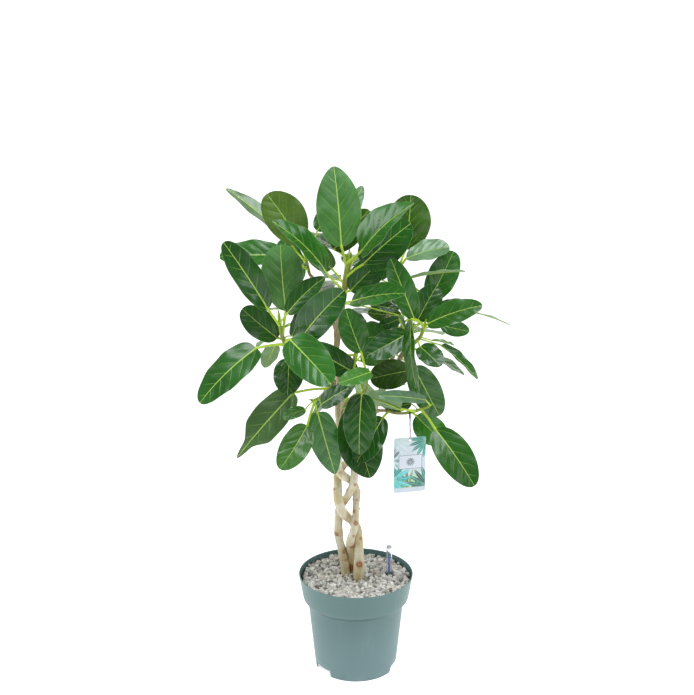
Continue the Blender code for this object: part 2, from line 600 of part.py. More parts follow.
def make_pot(material):
    profile = [
        (0.0, FLOOR_UNDERSIDE),
        (inner_radius(FLOOR_UNDERSIDE), FLOOR_UNDERSIDE),
        (inner_radius(0.0) - 0.0004, 0.0),
        (BASE_RADIUS - 0.0008, 0.0),
        (BASE_RADIUS, 0.0010),
        (NECK_RADIUS, NECK_HEIGHT),
        (COLLAR_FOOT_RADIUS - 0.0010, COLLAR_FOOT_HEIGHT - 0.0016),
        (COLLAR_FOOT_RADIUS, COLLAR_FOOT_HEIGHT),
        (RIM_RADIUS, POT_HEIGHT - 0.0010),
        (RIM_RADIUS - 0.0008, POT_HEIGHT),
        (RIM_RADIUS - POT_WALL, POT_HEIGHT),
        (inner_radius(COLLAR_FOOT_HEIGHT), COLLAR_FOOT_HEIGHT),
        (inner_radius(NECK_HEIGHT), NECK_HEIGHT),
        (inner_radius(FLOOR_TOP), FLOOR_TOP),
        (0.0, FLOOR_TOP),
    ]
    pot = turned("pot", profile, POT_SIDES, material)
    cutters = []
    for degrees in NOTCH_ANGLES:
        bpy.ops.mesh.primitive_cube_add(size=1)
        notch = bpy.context.object
        turn = math.radians(degrees)
        notch.data.transform(Matrix.Diagonal((0.03, NOTCH_WIDTH, 2 * NOTCH_HEIGHT, 1)))
        notch.data.transform(Matrix.Translation((BASE_RADIUS, 0, 0)))
        notch.data.transform(Matrix.Rotation(turn, 4, "Z"))
        cutters.append(notch)
    for hole in range(DRAIN_COUNT):
        turn = math.tau * (hole + 0.5) / DRAIN_COUNT
        place = (DRAIN_CIRCLE * math.cos(turn), DRAIN_CIRCLE * math.sin(turn))
        depth = [(0.0, FLOOR_UNDERSIDE - 0.002), (DRAIN_RADIUS, FLOOR_UNDERSIDE - 0.002),
                 (DRAIN_RADIUS, FLOOR_TOP + 0.002), (0.0, FLOOR_TOP + 0.002)]
        cutters.append(turned("drain", depth, 10, centre=place))
    solve_boolean(pot, "DIFFERENCE", cutters)
    shade(pot, 30)
    return pot


def hole_cutter(stem):
    """A plain round hole for a stem's foot, which stands upright in the fill."""
    foot_x, foot_y, foot_z, radius = stem[0]
    hole = max(radius, stem[1][3]) + 2 * GAP
    depth = [(0.0, foot_z - GAP), (hole, foot_z - GAP), (hole, POT_HEIGHT), (0.0, POT_HEIGHT)]
    return turned("stem_hole", depth, 16, centre=(foot_x, foot_y))


def gauge_cutter():
    hole = GAUGE_RADIUS + GAP
    seat = FILL_LEVEL - 0.001 - GAP
    depth = [(0.0, GAUGE_FOOT - GAP), (hole, GAUGE_FOOT - GAP), (hole, seat),
             (COLLAR_RADIUS + GAP, seat), (COLLAR_RADIUS + GAP, POT_HEIGHT), (0.0, POT_HEIGHT)]
    return turned("gauge_hole", depth, 16, centre=GAUGE_PLACE)


def make_fill(material):
    """The fill follows the pot's inside, and its top is a relief of jittered grains."""
    draw = random.Random(FILL_SEED)
    heights = [FLOOR_TOP + GAP, NECK_HEIGHT, COLLAR_FOOT_HEIGHT, FILL_LEVEL]
    rows = [ring((0, 0, height), inner_radius(height) - GAP, POT_SIDES) for height in heights]
    edge = inner_radius(FILL_LEVEL) - GAP
    grains = [Vector(point[:2]) for point in rows[-1]]
    row_spacing = GRAIN_SPACING * math.sqrt(3) / 2
    reach = int(edge / row_spacing) + 1
    for row in range(-reach, reach + 1):
        for column in range(-reach - 2, reach + 3):
            place = Vector((GRAIN_SPACING * (column + 0.5 * (row % 2)), row_spacing * row))
            place += Vector((draw.uniform(-0.3, 0.3), draw.uniform(-0.3, 0.3))) * GRAIN_SPACING
            if place.length < edge - 0.6 * GRAIN_SPACING:
                grains.append(place)
    edges = [(side, (side + 1) % POT_SIDES) for side in range(POT_SIDES)]
    flat, _, triangles, _, _, _ = delaunay_2d_cdt(grains, edges, [], 0, 1e-6)
    points = [point for row in rows[:-1] for point in row]
    below = len(points)
    for place, grain in enumerate(flat):
        lift = 0.0 if place < POT_SIDES else draw.uniform(-1.0, 1.0) * GRAIN_RELIEF
        points.append(Vector((grain.x, grain.y, FILL_LEVEL + lift)))
    faces = [list(range(POT_SIDES))[::-1]]
    for row in range(3):
        here, there = row * POT_SIDES, (row + 1) * POT_SIDES
        for side in range(POT_SIDES):
            following = (side + 1) % POT_SIDES
            faces.append([here + side, here + following, there + following, there + side])
    for triangle in triangles:
        a, b, c = [flat[corner] for corner in triangle]
        ahead = (b - a).cross(c - a) > 0
        corners = triangle if ahead else triangle[::-1]
        faces.append([below + corner for corner in corners])
    fill = add_object("granules", points, faces, material)
    cutters = [hole_cutter(runs[0]) for runs in STEMS.values()] + [gauge_cutter()]
    solve_boolean(fill, "DIFFERENCE", cutters)
    return fill


def make_gauge(clear, blue, dark):
    tube_profile = [
        (GAUGE_BORE, GAUGE_FOOT), (GAUGE_RADIUS, GAUGE_FOOT), (GAUGE_RADIUS, GAUGE_TOP - 0.001),
        (GAUGE_RADIUS - 0.001, GAUGE_TOP), (0.0, GAUGE_TOP), (0.0, GAUGE_TOP - 0.003),
        (GAUGE_BORE, GAUGE_TOP - 0.003),
    ]
    outer = turned("gauge_tube", tube_profile, 16, clear, GAUGE_PLACE, closed=True)
    shade(outer, 50)
    foot = GAUGE_FOOT
    mark = MARK_HEIGHT
    rod_profile = [
        (0.0, foot), (FLOAT_RADIUS, foot), (FLOAT_RADIUS, foot + FLOAT_LENGTH),
        (ROD_RADIUS, foot + FLOAT_LENGTH + 0.003), (ROD_RADIUS, mark - 0.0012),
        (ROD_RADIUS + 0.0008, mark - 0.0012), (ROD_RADIUS + 0.0008, mark + 0.0012),
        (ROD_RADIUS, mark + 0.0012), (ROD_RADIUS, FLOAT_TOP), (0.0, FLOAT_TOP),
    ]
    shade(turned("gauge_float", rod_profile, 12, blue, GAUGE_PLACE), 50)
    seat = FILL_LEVEL - 0.001
    collar_profile = [
        (GAUGE_RADIUS + GAP, seat), (COLLAR_RADIUS, seat), (COLLAR_RADIUS, seat + COLLAR_HEIGHT - 0.001),
        (COLLAR_RADIUS - 0.001, seat + COLLAR_HEIGHT), (GAUGE_RADIUS + GAP, seat + COLLAR_HEIGHT),
    ]
    shade(turned("gauge_collar", collar_profile, 16, dark, GAUGE_PLACE, closed=True), 50)


def tag_matrix():
    return Matrix.Translation(TAG_CENTRE) @ Matrix.Rotation(TAG_TURN, 4, "Z")


def make_tag(card_material, tie_material):
    half_width, half_height = TAG_WIDTH / 2, TAG_HEIGHT / 2
    outline = []
    for corner in range(4):
        centre_x = (half_width - TAG_CORNER) * (1 if corner in (0, 3) else -1)
        centre_z = (half_height - TAG_CORNER) * (1 if corner < 2 else -1)
        for step in range(4):
            turn = math.radians(90 * corner + 30 * step)
            outline.append(Vector((centre_x + TAG_CORNER * math.cos(turn), centre_z + TAG_CORNER * math.sin(turn))))
    count = len(outline)
    points = [Vector((spot.x, side * TAG_THICKNESS / 2, spot.y)) for side in (-1, 1) for spot in outline]
    faces = [list(range(count)), list(range(count, 2 * count))[::-1]]
    for here in range(count):
        there = (here + 1) % count
        faces.append([there, here, here + count, there + count])
    card = add_object("tag_card", points, faces, card_material)
    hole_height = half_height - TAG_HOLE_DROP
    punch = turned("punch", [(0.0, -0.005), (TAG_HOLE_RADIUS, -0.005), (TAG_HOLE_RADIUS, 0.005), (0.0, 0.005)], 14)
    punch.data.transform(Matrix.Translation((0, 0, hole_height)) @ Matrix.Rotation(math.radians(90), 4, "X"))
    solve_boolean(card, "DIFFERENCE", [punch])
    card.data.transform(tag_matrix())
    shade(card, 30)

    branch_x, branch_y, branch_z, branch_radius = SHOOTS["shoot_tag"][1][1]
    bend = branch_radius + TIE_RADIUS + 0.0005
    top = Vector((branch_x, branch_y, branch_z))
    hang = Vector(TAG_CENTRE) + Vector((0, 0, hole_height + TAG_HOLE_RADIUS - GAP - TIE_RADIUS))
    small = 0.0022
    loop = []
    for step in range(9):
        turn = math.pi * step / 8
        loop.append((top.x, top.y - bend * math.cos(turn), top.z + bend * math.sin(turn), TIE_RADIUS))
    for step in range(7):
        turn = math.pi * step / 6
        loop.append((hang.x, hang.y + small * math.cos(turn), hang.z + small - small * math.sin(turn), TIE_RADIUS))
    shade(tube("tag_tie", loop, 6, tie_material, closed=True), 60)


def main():
    clear_scene()
    materials = make_materials()
    make_pot(materials["pot_plastic"])
    make_fill(materials["granule"])
    for name, runs in STEMS.items():
        woody_stem(name, runs, materials["bark"])
    for name, (parent, listed, leaves) in SHOOTS.items():
        leafy_shoot(name, shoot_stem(parent, listed), leaves, materials["leaf"])
    make_gauge(materials["clear_plastic"], materials["blue_plastic"], materials["dark_rubber"])
    make_tag(materials["printed_card"], materials["tie_plastic"])


main()
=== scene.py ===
import math
import random

import bmesh
import bpy
from mathutils import Matrix, Vector, noise
from mathutils.bvhtree import BVHTree
from mathutils.kdtree import KDTree


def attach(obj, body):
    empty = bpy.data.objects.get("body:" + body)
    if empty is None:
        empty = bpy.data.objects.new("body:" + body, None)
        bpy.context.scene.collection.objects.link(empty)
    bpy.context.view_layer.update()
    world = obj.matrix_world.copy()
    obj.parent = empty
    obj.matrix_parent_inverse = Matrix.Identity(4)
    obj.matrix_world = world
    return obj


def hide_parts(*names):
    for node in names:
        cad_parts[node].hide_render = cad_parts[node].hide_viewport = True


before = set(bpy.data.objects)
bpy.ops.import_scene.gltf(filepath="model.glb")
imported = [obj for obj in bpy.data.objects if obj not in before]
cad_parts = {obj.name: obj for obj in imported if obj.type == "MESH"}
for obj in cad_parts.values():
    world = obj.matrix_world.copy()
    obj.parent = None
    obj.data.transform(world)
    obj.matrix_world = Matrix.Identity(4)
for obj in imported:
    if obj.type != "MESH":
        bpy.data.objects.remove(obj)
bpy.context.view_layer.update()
print("frame loaded")

# Camera, at the photograph's height and tilt
camera = {"place": (-0.019, -2.696, 1.525), "tiltDown": 16.73, "lens": 71.74, "focalPixels": 1385.0, "middle": (347.0, 347.5)}

bpy.ops.object.select_all(action="DESELECT")
bpy.ops.object.camera_add(location=camera["place"], rotation=(math.radians(90 - camera["tiltDown"]), 0, 0))
bpy.context.object.data.lens = camera["lens"]
bpy.context.scene.camera = bpy.context.object


def sightLine(across, down):  # from the camera through a spot of the picture
    flat = Vector(((across - camera["middle"][0]) / camera["focalPixels"],
                   -(down - camera["middle"][1]) / camera["focalPixels"], -1.0))
    return (Matrix.Rotation(math.radians(90 - camera["tiltDown"]), 3, "X") @ flat).normalized()


# Small helpers for finishes


def tone(red, green, blue):  # screen colour, 0 to 255
    return tuple((part / 255) ** 2.2 for part in (red, green, blue)) + (1.0,)


def newFinish(name, colour, roughness):
    finish = bpy.data.materials.new(name)
    finish.use_nodes = True
    shader = finish.node_tree.nodes["Principled BSDF"]
    shader.inputs["Base Color"].default_value = colour
    shader.inputs["Roughness"].default_value = roughness
    return finish, finish.node_tree, shader


def addNode(tree, kind, values=None, **settings):
    made = tree.nodes.new("ShaderNode" + kind)
    for name, value in settings.items():
        setattr(made, name, value)
    for name, value in (values or {}).items():
        if isinstance(value, bpy.types.NodeSocket):
            tree.links.new(value, made.inputs[name])
        else:
            made.inputs[name].default_value = value
    return made


def sums(tree, operation, first, second=0.0, third=0.0):
    return addNode(tree, "Math", {0: first, 1: second, 2: third}, operation=operation).outputs[0]


def times(tree, first, second):
    return sums(tree, "MULTIPLY", first, second)


def fade(tree, value, low, high, start=0.0, end=1.0):  # smooth step from start to end
    made = addNode(tree, "MapRange", {"Value": value, "From Min": low, "From Max": high, "To Min": start, "To Max": end})
    made.interpolation_type = "SMOOTHSTEP"
    return made.outputs[0]


def mixed(tree, share, first, second, blend="MIX"):
    made = tree.nodes.new("ShaderNodeMix")
    made.data_type = "RGBA"
    made.blend_type = blend
    for place, value in ((0, share), (6, first), (7, second)):
        if isinstance(value, bpy.types.NodeSocket):
            tree.links.new(value, made.inputs[place])
        else:
            made.inputs[place].default_value = value
    return made.outputs[2]


def tinted(tree, colour, red, green, blue):  # the colour with each part multiplied
    return mixed(tree, 1.0, colour, (red, green, blue, 1.0), "MULTIPLY")


def objectPlace(tree):
    return addNode(tree, "TexCoord").outputs["Object"]


def speckle(tree, scale, detail=3.0, stretch=None, roughness=0.55):  # noise on Object coordinates
    place = objectPlace(tree)
    if stretch:
        place = addNode(tree, "Mapping", {"Vector": place, "Scale": stretch}).outputs[0]
    return addNode(tree, "TexNoise", {"Vector": place, "Scale": scale, "Detail": detail, "Roughness": roughness}).outputs["Fac"]


def attribute(tree, name):
    return addNode(tree, "Attribute", attribute_name=name)


def addBump(tree, shader, height, distance, strength=1.0):
    made = addNode(tree, "Bump", {"Height": height, "Distance": distance, "Strength": strength})
    tree.links.new(made.outputs[0], shader.inputs["Normal"])


# Small helpers for shapes


def startPiece():
    bpy.ops.object.select_all(action="DESELECT")


def pick(piece):
    bpy.ops.object.select_all(action="DESELECT")
    piece.select_set(True)
    bpy.context.view_layer.objects.active = piece


def spun(name, outline, sides, centre=(0.0, 0.0)):  # an outline of (radius, height) turned round an upright axis
    startPiece()
    bpy.ops.mesh.primitive_plane_add(size=0.001, location=(centre[0] + outline[0][0], centre[1], outline[0][1]))
    piece = bpy.context.object
    piece.name = piece.data.name = name
    bpy.ops.object.mode_set(mode="EDIT")
    bpy.ops.mesh.merge(type="CENTER")
    for here, there in zip(outline, outline[1:]):
        step = (there[0] - here[0], 0.0, there[1] - here[1])
        bpy.ops.mesh.extrude_region_move(TRANSFORM_OT_translate={"value": step})
    bpy.ops.mesh.select_all(action="SELECT")
    bpy.ops.mesh.spin(steps=sides, angle=math.tau, center=(centre[0], centre[1], 0.0), axis=(0, 0, 1))
    bpy.ops.mesh.select_all(action="SELECT")
    bpy.ops.mesh.remove_doubles(threshold=1e-5)
    bpy.ops.mesh.normals_make_consistent(inside=False)
    bpy.ops.object.mode_set(mode="OBJECT")
    bpy.ops.object.transform_apply(location=True, rotation=True, scale=True)
    return piece


def applyModifier(piece, kind, **settings):
    pick(piece)
    modifier = piece.modifiers.new("step", kind)
    for name, value in settings.items():
        setattr(modifier, name, value)
    bpy.ops.object.modifier_apply(modifier="step")


def smoothShade(piece, degrees):
    pick(piece)
    bpy.ops.object.shade_smooth_by_angle(angle=math.radians(degrees))


def finishPiece(piece, nodes, slot, *finishes):
    if finishes:
        piece.data.materials.clear()
        for finish in finishes:
            piece.data.materials.append(finish)
    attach(piece, "root")
    if nodes:
        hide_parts(*nodes)


def joined(name, pieces):
    startPiece()
    for piece in pieces:
        piece.select_set(True)
    bpy.context.view_layer.objects.active = pieces[0]
    bpy.ops.object.join()
    bpy.context.object.name = bpy.context.object.data.name = name
    return bpy.context.object


def smoothRun(points, steps):  # one smooth curve through points of (x, y, z, radius)
    run = [Vector(point) for point in points]
    ends = [run[0] * 2 - run[1]] + run + [run[-1] * 2 - run[-2]]
    made = []
    for place in range(len(run) - 1):
        before, start, finish, after = ends[place:place + 4]
        for step in range(steps):
            t = step / steps
            made.append(0.5 * (2 * start + (finish - before) * t
                               + (2 * before - 5 * start + 4 * finish - after) * t * t
                               + (3 * start - 3 * finish + after - before) * t ** 3))
    return made + [run[-1]]


def sweep(name, path, sides):  # a round stalk along points of (x, y, z, radius)
    startPiece()
    bpy.ops.curve.primitive_nurbs_path_add()
    piece = bpy.context.object
    piece.name = piece.data.name = name
    piece.data.splines.clear()
    line = piece.data.splines.new("POLY")
    line.points.add(len(path) - 1)
    for spot, point in zip(line.points, path):
        spot.co = (point[0], point[1], point[2], 1.0)
        spot.radius = point[3]
    piece.data.bevel_depth = 1.0
    piece.data.bevel_resolution = max(0, sides // 4 - 1)
    piece.data.use_fill_caps = True
    bpy.ops.object.convert(target="MESH")
    piece = bpy.context.object
    pick(piece)
    bpy.ops.object.mode_set(mode="EDIT")
    bpy.ops.mesh.select_all(action="SELECT")
    bpy.ops.mesh.remove_doubles(threshold=1e-6)
    bpy.ops.mesh.normals_make_consistent(inside=False)
    bpy.ops.object.mode_set(mode="OBJECT")
    return piece


def paint(piece, name, values):  # one number for each point
    layer = piece.data.attributes.new(name, "FLOAT", "POINT")
    layer.data.foreach_set("value", values)


# Nursery pot

pot = {
    "sides": 160, "colour": tone(109, 141, 139), "notchAngles": (-145.7, -16.2, 99), "notchSize": (0.034, 0.0515, 0.030),
    "notchPlace": 0.086, "notchRound": 0.008, "drainRadius": 0.005, "drainCircle": 0.055, "drains": 6,
    "edgeRound": 0.0004,
    "outline": [
        (0.0, 0.0160), (0.0853, 0.0160), (0.0841, 0.0006), (0.0845, 0.0001), (0.0855, 0.0000), (0.0862, 0.0004),
        (0.0867, 0.0014), (0.0879, 0.0120), (0.0897, 0.0300), (0.0924, 0.0560), (0.0952, 0.0840), (0.0981, 0.1120),
        (0.1010, 0.1400), (0.1018, 0.1478), (0.1021, 0.1493), (0.1028, 0.1502), (0.1052, 0.1524), (0.1090, 0.1562),
        (0.1112, 0.1586), (0.1120, 0.1598), (0.1126, 0.1612), (0.1133, 0.1640), (0.1156, 0.1776), (0.1185, 0.1955),
        (0.1208, 0.2087), (0.1214, 0.2114), (0.1216, 0.2125), (0.1213, 0.2132), (0.1207, 0.2135), (0.1200, 0.2134),
        (0.1195, 0.2129), (0.1193, 0.2120), (0.1163, 0.1955), (0.1134, 0.1776), (0.1111, 0.1640), (0.1102, 0.1612),
        (0.1086, 0.1590), (0.1030, 0.1534), (0.1002, 0.1502), (0.0996, 0.1480), (0.0957, 0.1050), (0.0906, 0.0560),
        (0.0869, 0.0215), (0.0859, 0.0190), (0.0842, 0.0185), (0.0, 0.0185),
    ],
}


def potFinish():
    finish, tree, shader = newFinish("potPlastic", pot["colour"], 0.42)
    height = addNode(tree, "SeparateXYZ", {0: objectPlace(tree)}).outputs["Z"]
    cloud = speckle(tree, 9.0, 4.0)
    flow = speckle(tree, 60.0, 3.0, (1.0, 1.0, 0.12))
    colour = mixed(tree, fade(tree, cloud, 0.35, 0.65), tone(84, 111, 112), tone(90, 117, 118))
    # painted bounce light from the floor: the plastic is lighter towards the bottom
    colour = mixed(tree, fade(tree, height, 0.145, 0.010), colour, tone(96, 122, 124))
    # painted shade: the collar band is darker than the body
    colour = mixed(tree, fade(tree, height, 0.150, 0.166), colour, tone(82, 112, 110))
    colour = mixed(tree, times(tree, fade(tree, flow, 0.55, 0.75), 0.12), colour, tone(112, 138, 138))
    # the shaded underside of the collar
    neck = fade(tree, sums(tree, "ABSOLUTE", sums(tree, "SUBTRACT", height, 0.1545)), 0.0030, 0.0056, 0.80, 0.0)
    colour = mixed(tree, neck, colour, tone(50, 74, 74))
    dust = times(tree, fade(tree, height, 0.030, 0.0, 0.0, 1.0), fade(tree, speckle(tree, 45.0, 5.0), 0.42, 0.70))
    colour = mixed(tree, times(tree, dust, 0.25), colour, tone(128, 148, 146))
    rim = times(tree, fade(tree, height, 0.2100, 0.2127), 0.30)
    colour = mixed(tree, rim, colour, tone(112, 140, 138))
    tree.links.new(colour, shader.inputs["Base Color"])
    tree.links.new(sums(tree, "MULTIPLY_ADD", cloud, 0.16, 0.34), shader.inputs["Roughness"])
    grain = sums(tree, "ADD", speckle(tree, 900.0, 2.0), times(tree, flow, 0.8))
    addBump(tree, shader, grain, 0.00012, 0.35)
    return finish


potBody = spun("nurseryPot", pot["outline"], pot["sides"])
cutters = []
for degrees in pot["notchAngles"]:
    startPiece()
    bpy.ops.mesh.primitive_cube_add(size=1)
    notch = bpy.context.object
    notch.scale = pot["notchSize"]
    bpy.ops.object.transform_apply(location=False, rotation=False, scale=True)
    bpy.ops.object.mode_set(mode="EDIT")
    bpy.ops.mesh.select_all(action="DESELECT")
    shape = bmesh.from_edit_mesh(notch.data)
    for edge in shape.edges:
        ends = [vertex.co for vertex in edge.verts]
        edge.select = all(end.z > 0 for end in ends) and abs(ends[0].x - ends[1].x) > 0.01
    shape.select_flush_mode()
    bmesh.update_edit_mesh(notch.data)
    bpy.ops.mesh.bevel(offset=pot["notchRound"], segments=6, affect="EDGES")
    bpy.ops.object.mode_set(mode="OBJECT")
    notch.data.transform(Matrix.Rotation(math.radians(degrees), 4, "Z") @ Matrix.Translation((pot["notchPlace"], 0, 0)))
    cutters.append(notch)
for drain in range(pot["drains"]):
    turn = math.tau * (drain + 0.5) / pot["drains"]
    startPiece()
    bpy.ops.mesh.primitive_cylinder_add(vertices=24, radius=pot["drainRadius"], depth=0.01,
                                        location=(pot["drainCircle"] * math.cos(turn), pot["drainCircle"] * math.sin(turn),
                                                  0.017))
    bpy.ops.object.transform_apply()
    cutters.append(bpy.context.object)
for cutter in cutters:
    applyModifier(potBody, "BOOLEAN", operation="DIFFERENCE", object=cutter, solver="EXACT")
    bpy.data.objects.remove(cutter)
applyModifier(potBody, "BEVEL", width=pot["edgeRound"], segments=2, limit_method="ANGLE", angle_limit=math.radians(55))
smoothShade(potBody, 32)
finishPiece(potBody, ["pot"], "pot_plastic", potFinish())
print("pot made")

# Three woody stems: first the main run from the fill to its top, then its branches

stems = {
    "stem_right": [
        [(-0.0225, 0.0158, 0.1400, 0.0085), (-0.0225, 0.0158, 0.2085, 0.0088), (-0.0289, 0.0119, 0.2553, 0.0085),
         (-0.0354, 0.0079, 0.2841, 0.0083), (-0.0374, 0.0049, 0.3149, 0.0082), (-0.0369, 0.0099, 0.3427, 0.0080),
         (-0.0309, 0.0149, 0.3615, 0.0078), (-0.0200, 0.0119, 0.3803, 0.0077), (-0.0126, -0.0010, 0.4002, 0.0076),
         (-0.0051, -0.0080, 0.4190, 0.0074), (-0.0036, -0.0099, 0.4389, 0.0071), (-0.0021, -0.0080, 0.4607, 0.0070),
         (0.0078, -0.0026, 0.5112, 0.0068), (0.0300, 0.0054, 0.5709, 0.0064), (0.0560, -0.0060, 0.6300, 0.0058),
         (0.0780, -0.0220, 0.6800, 0.0050), (0.0900, -0.0320, 0.7050, 0.0044)],
        [(0.0300, 0.0054, 0.5709, 0.0045), (0.0440, -0.0284, 0.5882, 0.0040), (0.0600, -0.0501, 0.5960, 0.0034)],
        [(0.0560, -0.0060, 0.6300, 0.0048), (0.0640, 0.0220, 0.7100, 0.0044), (0.0660, 0.0400, 0.7800, 0.0040),
         (0.0700, 0.0420, 0.8200, 0.0037)],
        [(0.0300, 0.0054, 0.5709, 0.0050), (0.0560, 0.0400, 0.6250, 0.0045), (0.0780, 0.0620, 0.6800, 0.0040)],
        [(0.0560, -0.0060, 0.6300, 0.0044), (0.0780, 0.0000, 0.6720, 0.0040), (0.0940, 0.0050, 0.7020, 0.0036)],
    ],
    "stem_centre": [
        [(0.0063, -0.0099, 0.1400, 0.0100), (0.0063, -0.0099, 0.2085, 0.0105), (0.0068, -0.0080, 0.2534, 0.0098),
         (0.0058, -0.0010, 0.2841, 0.0090), (0.0028, 0.0089, 0.3089, 0.0082), (-0.0061, 0.0139, 0.3238, 0.0080),
         (-0.0190, 0.0040, 0.3397, 0.0080), (-0.0299, -0.0080, 0.3595, 0.0081), (-0.0369, -0.0099, 0.3843, 0.0083),
         (-0.0383, -0.0050, 0.4101, 0.0081), (-0.0374, 0.0089, 0.4329, 0.0078), (-0.0279, 0.0149, 0.4498, 0.0076),
         (-0.0170, 0.0099, 0.4686, 0.0074), (-0.0160, 0.0166, 0.5249, 0.0072), (-0.0300, 0.0300, 0.6000, 0.0068),
         (-0.0395, 0.0260, 0.6800, 0.0062), (-0.0410, 0.0220, 0.7350, 0.0056), (-0.0340, 0.0200, 0.7850, 0.0048)],
        [(-0.0410, 0.0220, 0.7400, 0.0040), (-0.0560, 0.0260, 0.7900, 0.0038), (-0.0740, 0.0310, 0.8300, 0.0036),
         (-0.0920, 0.0350, 0.8560, 0.0034)],
        [(-0.0395, 0.0260, 0.7000, 0.0044), (-0.0300, 0.0460, 0.7650, 0.0040), (-0.0220, 0.0560, 0.8150, 0.0037)],
        [(-0.0300, 0.0300, 0.6000, 0.0044), (-0.0220, 0.0500, 0.6180, 0.0040), (-0.0120, 0.0620, 0.6400, 0.0037)],
    ],
    "stem_left": [
        [(-0.0051, 0.0218, 0.1400, 0.0078), (-0.0051, 0.0218, 0.2085, 0.0080), (-0.0091, 0.0149, 0.2504, 0.0077),
         (-0.0121, 0.0010, 0.2762, 0.0075), (-0.0106, -0.0099, 0.2970, 0.0075), (-0.0051, -0.0129, 0.3159, 0.0076),
         (-0.0011, -0.0080, 0.3397, 0.0075), (0.0003, -0.0000, 0.3655, 0.0073), (0.0013, 0.0109, 0.3913, 0.0072),
         (-0.0061, 0.0168, 0.4101, 0.0073), (-0.0165, 0.0069, 0.4250, 0.0074), (-0.0279, -0.0099, 0.4389, 0.0076),
         (-0.0369, -0.0139, 0.4567, 0.0076), (-0.0379, -0.0153, 0.4974, 0.0074), (-0.0360, -0.0104, 0.5523, 0.0070),
         (-0.0430, -0.0080, 0.6300, 0.0064), (-0.0760, -0.0220, 0.6720, 0.0054), (-0.1060, -0.0340, 0.7000, 0.0048),
         (-0.1280, -0.0420, 0.7200, 0.0044)],
        [(-0.0400, -0.0060, 0.6000, 0.0040), (-0.0400, -0.0240, 0.6320, 0.0034), (-0.0450, -0.0340, 0.6440, 0.0030)],
        [(-0.0360, -0.0115, 0.5477, 0.0040), (-0.0330, -0.0252, 0.5672, 0.0036), (-0.0300, -0.0347, 0.5852, 0.0032)],
        [(-0.0760, -0.0220, 0.6720, 0.0042), (-0.0920, 0.0200, 0.7120, 0.0040), (-0.1040, 0.0520, 0.7450, 0.0036)],
    ],
}

bark = {
    "sides": 40, "steps": 26, "branchSides": 18, "branchSteps": 12, "seed": 5,
    "scarRise": 0.00105, "swell": 0.00100, "knuckle": 0.0013, "wrinkle": 0.00014, "creaseShade": 0.0034, "plump": 0.0009,
    # leaf scars that the camera sees: spot in the picture, radius, how brown
    "scars": [(346.8, 521.9, 0.0052, 1.0), (336.5, 533.7, 0.0040, 1.0), (353.8, 511.8, 0.0036, 0.9),
              (355.5, 484.4, 0.0030, 0.8),
              (334.6, 489.3, 0.0030, 0.8), (359.3, 563.8, 0.0064, 1.0), (344.6, 550.9, 0.0056, 0.8), (345.9, 559.8, 0.0034,
                      0.7),
              (352.6, 546.0, 0.0050, 0.8), (353.8, 535.9, 0.0026, 0.8), (355.9, 523.2, 0.0046, 0.9), (360.8, 538.4, 0.0034,
                      0.8),
              (349.5, 526.5, 0.0036, 0.6), (345.2, 503.5, 0.0040, 0.6), (343.7, 468.8, 0.0046, 0.7), (351.0, 567.0, 0.0080,
                      1.0),
              (340.5, 472.0, 0.0034, 0.5), (357.0, 500.2, 0.0024, 0.6)],
}


